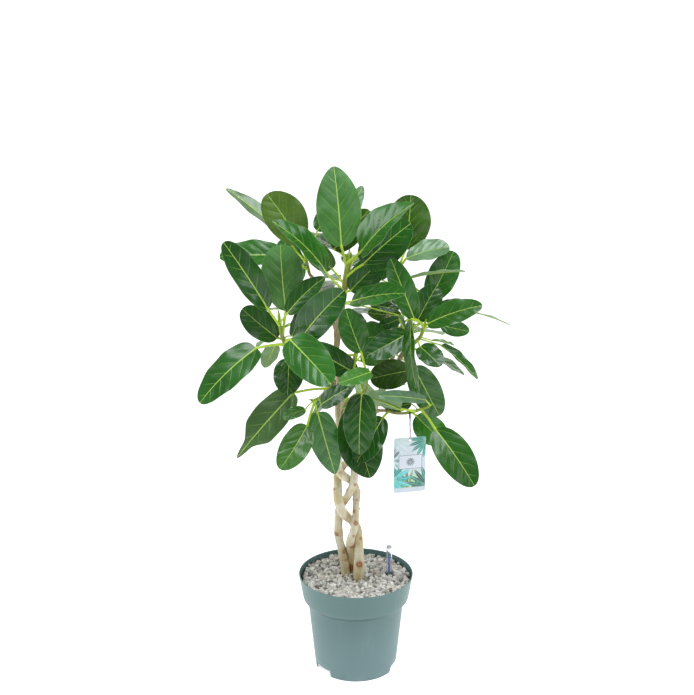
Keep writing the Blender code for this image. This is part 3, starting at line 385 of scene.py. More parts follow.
def barkFinish():
    finish, tree, shader = newFinish("bark", tone(208, 194, 158), 0.72)
    place = addNode(tree, "SeparateXYZ", {0: objectPlace(tree)})
    along = attribute(tree, "along").outputs["Fac"]

    def grain(around, upward, detail=3.0):  # noise that follows the stem
        spot = addNode(tree, "CombineXYZ", {0: times(tree, place.outputs[0], around), 1: times(tree, place.outputs[1], around),
                                            2: times(tree, along, upward)}).outputs[0]
        return addNode(tree, "TexNoise", {"Vector": spot, "Scale": 1.0, "Detail": detail, "Roughness": 0.6}).outputs["Fac"]

    rings = grain(50.0, 640.0)
    streaks = grain(260.0, 50.0)
    patches = grain(60.0, 34.0, 2.0)
    cloud = speckle(tree, 30.0, 4.0)
    colour = mixed(tree, fade(tree, cloud, 0.38, 0.62), tone(211, 206, 184), tone(196, 183, 142))
    colour = mixed(tree, times(tree, fade(tree, patches, 0.54, 0.66), 0.50), colour, tone(204, 164, 126))
    colour = mixed(tree, times(tree, fade(tree, streaks, 0.54, 0.75), 0.34), colour, tone(184, 154, 108))
    colour = mixed(tree, times(tree, fade(tree, rings, 0.58, 0.70), 0.42), colour, tone(158, 122, 82))
    warts = addNode(tree, "TexVoronoi", {"Vector": objectPlace(tree), "Scale": 150.0})
    chosen = sums(tree, "GREATER_THAN", addNode(tree, "SeparateColor", {0: warts.outputs["Color"]}).outputs[0], 0.74)
    wart = times(tree, fade(tree, warts.outputs["Distance"], 0.08, 0.24, 1.0, 0.0), chosen)
    colour = mixed(tree, times(tree, wart, 0.80), colour, tone(150, 84, 44))
    # painted shade: darker brown where the stems press against each other
    creaseShade = attribute(tree, "creaseShade").outputs["Fac"]
    creaseShade = fade(tree, sums(tree, "MULTIPLY_ADD", speckle(tree, 120.0, 3.0), 0.6, sums(tree, "ADD", creaseShade, -0.3)), 0.25, 0.90)
    colour = mixed(tree, times(tree, creaseShade, 0.85), colour, tone(146, 86, 44))
    reach = sums(tree, "MULTIPLY_ADD", speckle(tree, 240.0, 3.0), 0.9,
                 sums(tree, "ADD", attribute(tree, "scarReach").outputs["Fac"], -0.45))
    ring = fade(tree, sums(tree, "ABSOLUTE", sums(tree, "SUBTRACT", reach, 0.72)), 0.08, 0.36, 1.0, 0.0)
    middle = fade(tree, reach, 0.16, 0.44, 1.0, 0.0)
    stain = sums(tree, "MAXIMUM", sums(tree, "MAXIMUM", ring, middle), fade(tree, reach, 0.80, 1.70, 0.55, 0.0))
    stain = times(tree, stain, attribute(tree, "scarDepth").outputs["Fac"])
    colour = mixed(tree, times(tree, stain, 0.96), colour, mixed(tree, fade(tree, speckle(tree, 500.0, 3.0), 0.4, 0.6),
            tone(174, 94, 40), tone(112, 60, 28)))
    lowest = times(tree, fade(tree, place.outputs[2], 0.275, 0.225), 0.55)  # the feet are yellower
    colour = mixed(tree, lowest, colour, tinted(tree, colour, 0.98, 0.92, 0.66))
    grown = attribute(tree, "young").outputs["Fac"]
    colour = mixed(tree, times(tree, grown, 0.85), colour, mixed(tree, fade(tree, streaks, 0.4, 0.65), tone(150, 134, 102),
            tone(124, 98, 72)))
    tree.links.new(colour, shader.inputs["Base Color"])
    tree.links.new(sums(tree, "MULTIPLY_ADD", cloud, 0.25, 0.55), shader.inputs["Roughness"])
    height = sums(tree, "SUBTRACT", times(tree, streaks, 0.5), times(tree, fade(tree, rings, 0.50, 0.74), 0.9))
    height = sums(tree, "ADD", height, sums(tree, "MULTIPLY_ADD", wart, 0.9, times(tree, ring, 0.6)))
    addBump(tree, shader, sums(tree, "ADD", height, times(tree, speckle(tree, 700.0, 3.0), 0.35)), 0.0006, 0.8)
    return finish


def stemMeshes():
    made = {}
    for name, runs in stems.items():
        paths = [smoothRun(run, bark["steps"] if place == 0 else bark["branchSteps"]) for place, run in enumerate(runs)]
        tubes = []
        for place, path in enumerate(paths):
            tubes.append((sweep("run", path, bark["sides"] if place == 0 else bark["branchSides"]), path))
        made[name] = tubes
    return made


def pathIndex(path):
    tree = KDTree(len(path))
    for place, point in enumerate(path):
        tree.insert(point[:3], place)
    tree.balance()
    return tree


def scarSpots(tubes):  # where the camera's scars land, and some more round the back
    corners, faces = [], []
    for tube, _ in tubes:
        first = len(corners)
        corners += [vertex.co.copy() for vertex in tube.data.vertices]
        faces += [[first + corner for corner in face.vertices] for face in tube.data.polygons]
    tree = BVHTree.FromPolygons(corners, faces)
    eye = Vector(camera["place"])
    spots = []
    for across, down, radius, brown in bark["scars"]:
        hit = tree.ray_cast(eye, sightLine(across, down))[0]
        if hit:
            spots.append((hit, radius, brown))
    draw = random.Random(bark["seed"])
    for tube, path in tubes:
        rings = int(len(path) / 9)
        for number in range(rings):
            point = path[min(len(path) - 1, 6 + number * 9 + draw.randint(-2, 2))]
            turn = draw.uniform(0.15, math.pi - 0.15)  # the far half, as the near half is given
            side = Vector((math.cos(turn), math.sin(turn), 0.0))
            hit = tree.find_nearest(Vector(point[:3]) + side * point[3] * 1.2)[0]
            spots.append((hit, draw.uniform(0.0022, 0.0045) * min(1.0, point[3] / 0.007), draw.uniform(0.5, 1.0)))
    return spots


def barkRelief(tube, path, spots, others, isMain):
    nearest = pathIndex(path)
    lengths = [0.0]
    for here, there in zip(path, path[1:]):
        lengths.append(lengths[-1] + (there - here).to_3d().length)
    along, reach, depths, creaseShade, young = [], [], [], [], []
    for vertex in tube.data.vertices:
        _, place, _ = nearest.find(vertex.co)
        outward = (vertex.co - path[place].to_3d()).normalized()
        rise = noise.noise(vertex.co * 42.0) * bark["swell"]
        rise += bark["plump"] if isMain and vertex.co.z < 0.46 else 0.0
        rise += noise.noise(Vector((lengths[place] * 26.0, path[0].x * 90, 0.0))) * bark["knuckle"]
        rise += noise.noise(Vector((vertex.co.x * 60, vertex.co.y * 60, lengths[place] * 480))) * bark["wrinkle"]
        closest, closestDepth = 3.0, 0.0
        for spot, radius, depth in spots:
            apart = (vertex.co - spot).length / radius
            if apart < 2.2:
                lip = math.exp(-((apart - 0.80) / 0.28) ** 2)
                rise += bark["scarRise"] * depth * (lip + 1.2 * math.exp(-(apart / 0.34) ** 2))
            if apart < closest:
                closest, closestDepth = apart, depth
        gap = 1.0
        # nearness of another stem, which sets the painted shade between stems
        if others and vertex.co.z < 0.56:
            spot, number, apart = others[0].find(vertex.co)
            gap = max(0.0, apart - others[1][number]) / bark["creaseShade"]
        vertex.co += outward * rise
        along.append(lengths[place])
        reach.append(closest)
        depths.append(closestDepth)
        creaseShade.append(max(0.0, 1.0 - gap))
        young.append(min(1.0, max(0.0, (vertex.co.z - 0.52) / 0.16)) if isMain else 0.9)
    for label, values in (("along", along), ("scarReach", reach), ("scarDepth", depths), ("creaseShade", creaseShade), ("young", young)):
        paint(tube, label, values)


barkSkin = barkFinish()
allTubes = stemMeshes()
spots = scarSpots([entry for tubes in allTubes.values() for entry in tubes])
stemNames = {"stem_left": "leftStem", "stem_centre": "middleStem", "stem_right": "rightStem"}
for name, tubes in allTubes.items():
    rival = [point for other, runs in allTubes.items() if other != name for point in runs[0][1]]
    others = (pathIndex(rival), [point[3] for point in rival])
    for place, (tube, path) in enumerate(tubes):
        barkRelief(tube, path, spots, others if place == 0 else None, place == 0)
    piece = joined(stemNames[name], [tube for tube, _ in tubes])
    smoothShade(piece, 60)
    finishPiece(piece, [name], "bark", barkSkin)
print("stems made")

# Leafy shoots: the woody run each grows from, its stem ending in a bud, and its leaves.
# A leaf is (place on the stem, blade base, blade tip, width, way it faces, look), or for the far side
# (place, azimuth, rise, stalk, length, width). A look names a colour and may bend the blade.

# Besides each leaf's own green, these tones carry painted light and shade: darker ones such as deep are partly painted
# shade for leaves behind others, grey and light are partly painted sheen, and lit is painted light through a back-lit
# blade.
leafShades = {  # upper side of the blade
    "deep": tone(28, 74, 22), "mid": tone(40, 92, 30), "fresh": tone(60, 112, 42), "olive": tone(48, 80, 10),
    "lit": tone(40, 112, 12), "warm": tone(74, 106, 38), "grey": tone(94, 126, 92), "light": tone(66, 108, 54),
    "dusky": tone(70, 100, 60),
}

leaf = {
    "columns": 16, "rows": 44, "thickness": 0.00055, "fold": 14.0, "bow": 0.045, "stalkRadius": 0.0025,
    "spine": (0.04, 0.12, 0.22, 0.34, 0.46, 0.58, 0.70, 0.82, 0.92),  # where the midrib runs under the blade
    "stalkSides": 10, "wave": 0.0020, "quilt": 0.0009,
    "veins": 5.2, "veinStart": 0.128, "veinShift": 0.085, "veinSlope": 0.95, "veinCurve": 1.3,
}

shoots = {
    "shoot_top": (
        ("stem_centre", 0),
        [(-0.027, 0.017, 0.825, 0.0042), (-0.023, 0.013, 0.860, 0.0038), (-0.019, 0.009, 0.890, 0.0032),
         (-0.016, 0.007, 0.914, 0.0010)],
        [
            (0.74, (-0.030, -0.005, 0.925), (-0.045, 0.030, 1.080), 0.090, (0.0, -1.0, 0.15),
             {"shade": "light", "point": 0.58, "heel": 0.48, "fold": 9, "sway": 0.01}),
            (0.80, (0.010, -0.042, 0.925), (0.105, -0.120, 1.035), 0.082, (-0.45, -0.65, 0.60),
             {"shade": "mid", "widest": 0.72, "point": 0.62, "heel": 0.40, "fold": 20, "twist": 22, "leftWidth": 1.12,
              "tail": 0.15}),
            (0.55, (0.013, -0.004, 0.889), (0.105, -0.035, 0.978), 0.086, (0.1, -0.9, 0.45),
             {"shade": "deep", "widest": 0.95, "point": 0.46}),
            (0.35, (-0.060, -0.025, 0.877), (-0.158, -0.120, 1.000), 0.076, (0.35, -0.60, 0.70),
             {"shade": "mid", "fold": 20, "twist": -8, "point": 0.60, "heel": 0.34, "widest": 0.70, "leftWidth": 0.90}),
            (0.12, (-0.010, -0.040, 0.822), (0.092, -0.125, 0.862), 0.060, (0.0, -0.65, 0.75),
             {"shade": "mid", "point": 0.42, "fold": 16}),
            (0.45, (-0.050, 0.028, 0.872), (-0.105, 0.010, 0.940), 0.048, (0.1, -1.0, 0.0), "olive"),
            (0.30, (-0.012, 0.022, 0.828), (0.055, 0.030, 0.892), 0.062, (0.0, -1.0, 0.2), "deep"),
            (0.14, (0.084, 0.000, 0.783), (0.099, -0.002, 0.749), 0.020, (0.85, -0.50, 0.30), "deep"),
        ],
    ),
    "shoot_upper_left": (
        ("stem_centre", 1),
        [(-0.098, 0.038, 0.872, 0.0032), (-0.102, 0.040, 0.888, 0.0028), (-0.104, 0.041, 0.902, 0.0010)],
        [
            (0.70, (-0.112, 0.050, 0.918), (-0.180, 0.055, 1.020), 0.082, (0.1, -1.0, 0.1),
             {"shade": "warm", "widest": 1.10, "point": 0.44, "heel": 0.46, "fold": 8, "rightWidth": 1.10, "leftWidth": 0.94}),
            (0.50, (-0.140, 0.085, 0.920), (-0.270, 0.125, 1.015), 0.044, (0.3, -0.50, 0.80),
             {"shade": "grey", "fold": 22, "droop": -0.03, "widest": 0.80, "point": 0.60}),
            (0.25, (-0.145, 0.025, 0.900), (-0.275, 0.020, 0.900), 0.066, (0.0, -0.70, 0.70),
             {"shade": "mid", "fold": 26, "point": 0.46}),
            (0.60, (-0.080, 0.085, 0.938), (-0.035, 0.120, 0.990), 0.044, (0.1, -0.6, 0.8), "mid"),
        ],
    ),
    "shoot_left": (
        ("stem_left", 0),
        [(-0.142, -0.048, 0.738, 0.0042), (-0.150, -0.050, 0.760, 0.0038), (-0.153, -0.050, 0.785, 0.0032),
         (-0.155, -0.050, 0.809, 0.0010)],
        [
            (0.62, (-0.175, -0.070, 0.815), (-0.255, -0.100, 0.955), 0.062, (0.40, -0.80, 0.30),
             {"shade": "deep", "point": 0.42, "fold": 18}),
            (0.40, (-0.140, -0.052, 0.806), (-0.150, -0.030, 0.935), 0.084, (0.0, -0.92, 0.35),
             {"shade": "light", "widest": 1.14, "point": 0.42, "heel": 0.46, "fold": 10}),
            (0.70, (-0.136, -0.070, 0.806), (-0.062, -0.072, 0.880), 0.048, (-0.30, -0.80, 0.50),
             {"shade": "deep", "point": 0.62, "fold": 18}),
            (0.30, (-0.110, -0.085, 0.757), (-0.025, -0.140, 0.870), 0.072, (-0.30, -0.93, 0.2),
             {"shade": "deep", "point": 0.40, "fold": 20, "widest": 0.94}),
            (0.35, (-0.130, -0.020, 0.745), (-0.108, -0.010, 0.805), 0.030, (0.5, -0.8, 0.0), "deep"),
            (0.30, (-0.159, -0.028, 0.743), (-0.228, -0.030, 0.804), 0.060, (0.2, -0.9, 0.3),
             {"shade": "deep", "point": 0.40, "heel": 0.36}),
            (0.22, (-0.197, -0.088, 0.740), (-0.306, -0.145, 0.646), 0.072, (-0.20, -0.75, 0.62),
             {"shade": "mid", "widest": 0.74, "point": 0.44, "heel": 0.36, "fold": 10}),
            (0.12, (-0.165, -0.005, 0.722), (-0.188, 0.012, 0.668), 0.038, (-0.3, 0.9, 0.3), "mid"),
            (0.26, (-0.130, -0.105, 0.762), (-0.050, -0.190, 0.700), 0.078, (0.12, -0.97, 0.2),
             {"shade": "mid", "widest": 0.84, "point": 0.40, "heel": 0.36, "fold": 10}),
            (0.10, (-0.135, -0.068, 0.712), (-0.137, -0.095, 0.645), 0.061, (0.0, -1.0, 0.2), {"shade": "deep", "point": 0.50}),
        ],
    ),
    "shoot_low_left": (
        ("stem_left", 1),
        [(-0.062, -0.060, 0.634, 0.0028), (-0.086, -0.070, 0.624, 0.0026), (-0.096, -0.073, 0.629, 0.0012)],
        [
            (0.22, (-0.127, -0.045, 0.633), (-0.244, -0.085, 0.509), 0.074, (-0.30, -0.80, 0.45),
             {"shade": "dusky", "widest": 0.74, "point": 0.52, "tail": 0.62, "fold": 13, "droop": 0.05, "twist": 30}),
            (0.85, (-0.102, -0.100, 0.616), (-0.145, -0.125, 0.607), 0.026, (0.0, -0.8, 0.6),
             {"shade": "fresh", "point": 0.44}),
            (0.80, (-0.098, -0.105, 0.584), (-0.150, -0.165, 0.515), 0.060, (-0.1, -0.97, 0.2),
             {"shade": "fresh", "widest": 0.90, "point": 0.44, "fold": 12}),
            (0.84, (-0.078, -0.085, 0.605), (-0.043, -0.070, 0.466), 0.062, (0.1, -1.0, 0.1),
             {"shade": "mid", "widest": 0.72, "point": 0.66, "heel": 0.38, "fold": 8}),
            (0.72, (-0.090, -0.045, 0.590), (-0.085, -0.030, 0.548), 0.022, (0.3, -0.9, 0.0), "mid"),
            (0.70, (-0.070, -0.092, 0.624), (-0.004, -0.140, 0.682), 0.040, (0.0, -0.8, 0.6), {"shade": "deep", "point": 0.48}),
        ],
    ),
    "shoot_front": (
        ("stem_left", 2),
        [(-0.022, -0.050, 0.612, 0.0030), (-0.004, -0.070, 0.636, 0.0029), (0.018, -0.084, 0.652, 0.0028),
         (0.021, -0.092, 0.680, 0.0025),
         (0.023, -0.097, 0.705, 0.0010)],
        [
            (0.95, (0.027, -0.122, 0.701), (-0.034, -0.180, 0.697), 0.038, (0.0, -0.70, 0.70),
             {"shade": "fresh", "point": 0.46}),
            (0.85, (0.009, -0.078, 0.728), (-0.022, -0.065, 0.814), 0.058, (0.2, -0.95, 0.1),
             {"shade": "mid", "point": 0.46, "heel": 0.44}),
            (0.20, (0.008, -0.026, 0.741), (0.061, -0.039, 0.753), 0.066, (0.1, -0.9, 0.3), "mid"),
            (0.55, (0.010, -0.122, 0.656), (0.005, -0.150, 0.540), 0.067, (0.0, -1.0, 0.1),
             {"shade": "deep", "widest": 0.80, "point": 0.50, "heel": 0.40}),
            (0.18, (0.000, -0.028, 0.668), (-0.105, -0.040, 0.735), 0.056, (0.2, -0.9, 0.3), "deep"),
            (0.12, (-0.012, -0.058, 0.605), (0.028, -0.114, 0.476), 0.092, (0.05, -0.80, 0.60),
             {"shade": "deep", "widest": 1.05, "point": 0.62, "heel": 0.44, "fold": 16}),
        ],
    ),
    "shoot_tag": (
        ("stem_right", 1),
        [(0.080, -0.053, 0.592, 0.0032), (0.108, -0.054, 0.5935, 0.0030), (0.141, -0.053, 0.604, 0.0027),
         (0.156, -0.053, 0.613, 0.0010)],
        [
            (0.72, (0.158, -0.095, 0.572), (0.232, -0.165, 0.480), 0.070, (-0.1, -0.9, 0.4),
             {"shade": "mid", "widest": 0.92, "point": 0.44, "heel": 0.42}),
            (0.45, (0.123, -0.014, 0.573), (0.184, -0.010, 0.514), 0.062, (0.1, -1.0, 0.0), {"shade": "lit", "point": 0.44}),
            (0.60, (0.088, -0.090, 0.614), (0.020, -0.078, 0.635), 0.086, (0.2, 0.66, 0.70),
             {"shade": "mid", "point": 0.40, "heel": 0.36}),
            (0.92, (0.138, -0.092, 0.633), (0.043, -0.128, 0.655), 0.028, (0.0, -0.75, 0.65),
             {"shade": "grey", "point": 0.40, "heel": 0.30, "fold": 22}),
            (0.08, (0.053, -0.085, 0.594), (0.000, -0.128, 0.515), 0.060, (-0.1, -0.85, 0.5),
             {"shade": "deep", "point": 0.46, "fold": 18}),
            (0.66, (0.112, -0.024, 0.602), (0.064, -0.015, 0.588), 0.028, (0.0, -0.8, 0.6), "deep"),
        ],
    ),
    "shoot_right": (
        ("stem_right", 0),
        [(0.113, -0.045, 0.735, 0.0040), (0.127, -0.050, 0.752, 0.0037), (0.134, -0.052, 0.772, 0.0030),
         (0.138, -0.053, 0.791, 0.0010)],
        [
            (0.80, (0.107, -0.092, 0.800), (0.119, -0.140, 0.662), 0.054, (-0.9, -0.42, 0.0),
             {"shade": "mid", "point": 0.52, "heel": 0.42}),
            (0.85, (0.114, -0.060, 0.792), (0.067, -0.050, 0.911), 0.052, (0.1, -1.0, 0.1),
             {"shade": "mid", "point": 0.46, "fold": 18}),
            (0.80, (0.122, -0.034, 0.782), (0.160, -0.020, 0.850), 0.060, (0.0, -1.0, 0.1), "deep"),
            (0.72, (0.140, -0.062, 0.782), (0.244, -0.090, 0.828), 0.052, (0.0, -0.75, 0.62),
             {"shade": "mid", "widest": 0.88, "point": 0.46, "heel": 0.38, "fold": 17}),
            (0.40, (0.100, -0.068, 0.764), (0.020, -0.100, 0.728), 0.056, (0.0, -0.85, 0.50), "deep"),
            (0.50, (0.125, -0.085, 0.742), (0.163, -0.130, 0.716), 0.048, (0.1, -0.80, 0.60),
             {"shade": "deep", "point": 0.40, "heel": 0.36, "fold": 18}),
            (0.55, (0.168, -0.062, 0.738), (0.240, -0.090, 0.677), 0.034, (0.66, -0.40, 0.64),
             {"shade": "mid", "point": 0.50, "fold": 30}),
            (0.60, (0.150, -0.040, 0.742), (0.196, -0.030, 0.728), 0.030, (0.1, 0.40, 0.90), "mid"),
            (0.12, (0.115, -0.038, 0.686), (0.170, -0.028, 0.577), 0.064, (0.1, -1.0, 0.1), {"shade": "mid", "point": 0.44}),
            (0.30, (0.085, -0.028, 0.782), (0.042, -0.020, 0.764), 0.024, (0.0, -0.9, 0.4), "deep"),
            (0.16, (0.108, -0.038, 0.678), (0.028, -0.026, 0.656), 0.062, (0.1, -0.95, 0.3), {"shade": "olive", "point": 0.42}),
        ],
    ),
    "shoot_upper_right": (
        ("stem_right", 2),
        [(0.078, 0.042, 0.848, 0.0035), (0.088, 0.041, 0.874, 0.0030), (0.092, 0.040, 0.892, 0.0010)],
        [
            (0.80, (0.100, 0.050, 0.907), (0.110, 0.060, 1.017), 0.090, (0.05, -1.0, 0.05),
             {"shade": "olive", "point": 0.44, "widest": 1.05}),
            (0.70, (0.100, 0.018, 0.896), (0.186, 0.015, 0.920), 0.056, (0.0, -0.55, 0.80),
             {"shade": "grey", "widest": 1.16, "point": 0.44, "fold": 16}),
            (0.60, (0.106, -0.012, 0.863), (0.216, -0.030, 0.877), 0.028, (0.0, 0.26, 0.96),
             {"shade": "mid", "twist": 14, "droop": -0.03, "fold": 24}),
            (0.40, (0.150, 0.036, 0.806), (0.197, 0.042, 0.905), 0.064, (0.0, -1.0, 0.1),
             {"shade": "mid", "widest": 1.0, "point": 0.40, "heel": 0.40, "fold": 18}),
            (0.20, (0.045, 0.052, 0.845), (0.073, 0.066, 0.890), 0.034, (0.0, -1.0, 0.2), "deep"),
        ],
    ),
    "shoot_right_rear": (
        ("stem_right", 4),
        [(0.107, 0.010, 0.728, 0.0034), (0.114, 0.014, 0.748, 0.0030), (0.118, 0.016, 0.766, 0.0010)],
        [
            (0.85, (0.185, 0.000, 0.796), (0.314, 0.018, 0.758), 0.034, (0.20, 0.28, 0.95), "grey"),
            (0.70, (0.160, 0.048, 0.772), (0.225, 0.060, 0.794), 0.040, (0.0, -0.8, 0.5), "mid"),
            (0.60, (0.170, -0.010, 0.765), (0.228, -0.010, 0.752), 0.034, (0.0, -0.9, 0.3), "mid"),
            (0.40, (0.093, 0.063, 0.763), (0.024, 0.067, 0.770), 0.034, (0.0, -0.85, 0.50), "olive"),
            (0.20, (0.074, -0.002, 0.720), (0.010, 0.004, 0.684), 0.050, (0.1, -1.0, 0.2), "fresh"),
        ],
    ),
    "shoot_far_top": (
        ("stem_centre", 2),
        [(-0.016, 0.064, 0.850, 0.0034), (-0.012, 0.070, 0.880, 0.0028), (-0.010, 0.072, 0.898, 0.0010)],
        [
            (0.80, (-0.045, 0.060, 0.905), (0.026, 0.065, 0.985), 0.058, (0.0, -1.0, 0.1), "olive"),
            (0.85, (-0.024, 0.100, 0.950), (0.013, 0.120, 1.025), 0.034, (0.3, -0.5, 0.8), "grey"),
            (0.15, (0.030, 0.034, 0.794), (0.087, 0.032, 0.786), 0.026, (0.0, -0.8, 0.6), "deep"),
            (0.75, 140, 30, 0.035, 0.110, 0.058),
            (0.70, 28, 38, 0.035, 0.110, 0.060),
            (0.45, 80, 18, 0.030, 0.100, 0.056),
            (0.20, 125, 6, 0.035, 0.080, 0.048),
        ],
    ),
    "shoot_far_left": (
        ("stem_left", 3),
        [(-0.110, 0.064, 0.768, 0.0033), (-0.116, 0.072, 0.790, 0.0028), (-0.119, 0.076, 0.806, 0.0010)],
        [
            (0.92, 110, 58, 0.030, 0.115, 0.062),
            (0.80, 168, 34, 0.035, 0.090, 0.052),
            (0.60, 62, 22, 0.040, 0.105, 0.058),
            (0.40, 130, 2, 0.035, 0.110, 0.062),
            (0.20, 152, -22, 0.040, 0.100, 0.056),
            (0.10, 95, -24, 0.035, 0.095, 0.054),
        ],
    ),
    "shoot_far_right": (
        ("stem_right", 3),
        [(0.088, 0.074, 0.712, 0.0036), (0.096, 0.082, 0.742, 0.0030), (0.100, 0.086, 0.760, 0.0010)],
        [
            (0.92, 100, 34, 0.033, 0.092, 0.058),
            (0.80, 32, 20, 0.040, 0.105, 0.056),
            (0.65, 140, 20, 0.035, 0.105, 0.056),
            (0.45, 48, 2, 0.040, 0.110, 0.062),
            (0.25, -12, -10, 0.045, 0.110, 0.056),
            (0.12, 95, -10, 0.035, 0.090, 0.052),
            (0.05, 20, -40, 0.035, 0.100, 0.054),
        ],
    ),
    "shoot_far_low": (
        ("stem_centre", 3),
        [(-0.006, 0.076, 0.655, 0.0033), (-0.002, 0.084, 0.674, 0.0028), (0.000, 0.087, 0.690, 0.0010)],
        [
            (0.92, 95, 36, 0.030, 0.095, 0.056),
            (0.70, 160, -6, 0.040, 0.110, 0.060),
            (0.30, (0.055, 0.010, 0.748), (0.088, 0.006, 0.768), 0.022, (0.0, -0.9, 0.4), "deep"),
            (0.55, 28, -20, 0.040, 0.105, 0.058),
            (0.30, 110, -34, 0.040, 0.110, 0.060),
            (0.10, 55, -48, 0.040, 0.110, 0.058),
            (0.20, 195, -40, 0.040, 0.100, 0.056),
        ],
    ),
}


def veinPattern(tree):  # masks of the midrib, the two base veins and the side veins, from the blade's own map
    place = addNode(tree, "SeparateXYZ", {0: addNode(tree, "UVMap", uv_map="bladeMap").outputs[0]})
    across = sums(tree, "ABSOLUTE", place.outputs[0])
    up = place.outputs[1]
    squared = times(tree, across, across)
    rim = attribute(tree, "edgeShare").outputs["Fac"]
    midrib = sums(tree, "DIVIDE", across, sums(tree, "MULTIPLY_ADD", up, -0.0080, 0.0108))
    midrib = fade(tree, midrib, 0.70, 1.20, 1.0, 0.0)
    shifted = sums(tree, "MULTIPLY_ADD", sums(tree, "GREATER_THAN", place.outputs[0], 0.0), -leaf["veinShift"], up)
    level = sums(tree, "SUBTRACT", shifted, sums(tree, "MULTIPLY_ADD", across, leaf["veinSlope"],
                                                 times(tree, squared, leaf["veinCurve"])))
    level = sums(tree, "MULTIPLY_ADD", speckle(tree, 24.0, 1.0), 0.05, level)
    turned = sums(tree, "MULTIPLY_ADD", level, leaf["veins"], -leaf["veinStart"] - 0.025 * leaf["veins"])
    cell = times(tree, sums(tree, "ABSOLUTE", sums(tree, "SUBTRACT", sums(tree, "FRACT", turned), 0.5)), 2.0)
    baseLine = sums(tree, "SUBTRACT", up, sums(tree, "MULTIPLY_ADD", across, 1.10, times(tree, squared, 1.6)))
    inner = fade(tree, baseLine, 0.010, 0.050)
    side = times(tree, fade(tree, sums(tree, "MULTIPLY_ADD", rim, -0.05, cell), 0.86, 0.965),
                 times(tree, inner, fade(tree, rim, 0.35, 0.98, 1.0, 0.12)))
    base = times(tree, fade(tree, sums(tree, "ABSOLUTE", baseLine), 0.004, 0.012, 1.0, 0.0),
                 fade(tree, rim, 0.50, 1.0, 1.0, 0.10))
    outer = times(tree, sums(tree, "FRACT", times(tree, sums(tree, "MULTIPLY_ADD", across, -0.2, up), 13.0)), 2.0)
    outer = times(tree, fade(tree, sums(tree, "ABSOLUTE", sums(tree, "SUBTRACT", outer, 1.0)), 0.84, 0.98),
                  sums(tree, "SUBTRACT", 1.0, fade(tree, baseLine, -0.05, -0.01)))
    return midrib, base, side, times(tree, outer, 0.35), cell, rim


def bladeFinish(name, isTop):
    finish, tree, shader = newFinish(name, leafShades["mid"], 0.34 if isTop else 0.55)
    midrib, base, side, outer, cell, rim = veinPattern(tree)
    shade = attribute(tree, "leafShade").outputs["Color"]
    cloud = fade(tree, speckle(tree, 16.0, 3.0), 0.35, 0.65)
    fine = speckle(tree, 260.0, 3.0)
    net = addNode(tree, "TexVoronoi", {"Vector": objectPlace(tree), "Scale": 420.0}, feature="DISTANCE_TO_EDGE").outputs[0]
    netLine = fade(tree, net, 0.0, 0.12, 1.0, 0.0)
    veins = sums(tree, "MAXIMUM", sums(tree, "MAXIMUM", base, side), outer)
    if isTop:
        colour = mixed(tree, cloud, tinted(tree, shade, 0.78, 0.82, 0.74), tinted(tree, shade, 1.20, 1.15, 1.18))
        colour = mixed(tree, times(tree, fade(tree, fine, 0.4, 0.7), 0.10), colour, tone(70, 120, 50))
        colour = mixed(tree, times(tree, netLine, 0.05), colour, tone(110, 160, 70))
        beside = times(tree, fade(tree, cell, 0.55, 0.90), sums(tree, "SUBTRACT", 1.0, rim))
        colour = mixed(tree, times(tree, beside, 0.30), colour, tinted(tree, shade, 0.70, 0.80, 0.60))
        colour = mixed(tree, times(tree, veins, 0.38), colour, tone(124, 168, 66))
        colour = mixed(tree, times(tree, fade(tree, rim, 0.965, 0.998), 0.45), colour, tone(140, 175, 100))
        colour = mixed(tree, times(tree, midrib, 0.86), colour, tone(172, 204, 92))
        height = sums(tree, "MULTIPLY_ADD", sums(tree, "POWER", cell, 4.0), -0.35, 0.5)
        height = sums(tree, "SUBTRACT", height, sums(tree, "MULTIPLY_ADD", veins, 0.25, times(tree, midrib, 0.5)))
        height = sums(tree, "ADD", height, times(tree, fine, 0.08))
        height = sums(tree, "SUBTRACT", height, times(tree, netLine, 0.04))
        addBump(tree, shader, height, 0.0010, 0.5)
        tree.links.new(sums(tree, "MULTIPLY_ADD", cloud, 0.08, sums(tree, "MULTIPLY_ADD", midrib, 0.12, 0.23)),
                       shader.inputs["Roughness"])
        shader.inputs["IOR"].default_value = 1.42
        shader.inputs["Coat Weight"].default_value = 0.20
        shader.inputs["Coat Roughness"].default_value = 0.14
    else:
        pale = mixed(tree, 0.30, tone(128, 158, 112), shade)
        colour = mixed(tree, cloud, pale, tinted(tree, pale, 1.15, 1.12, 1.12))
        colour = mixed(tree, times(tree, netLine, 0.18), colour, tone(150, 180, 120))
        colour = mixed(tree, times(tree, veins, 0.55), colour, tone(168, 192, 118))
        colour = mixed(tree, times(tree, midrib, 0.85), colour, tone(186, 208, 110))
        height = sums(tree, "ADD", times(tree, veins, 0.9), times(tree, netLine, 0.12))
        addBump(tree, shader, sums(tree, "ADD", height, midrib), 0.0008, 0.7)
        tree.links.new(sums(tree, "MULTIPLY_ADD", cloud, 0.12, 0.48), shader.inputs["Roughness"])
    tree.links.new(colour, shader.inputs["Base Color"])
    return finish


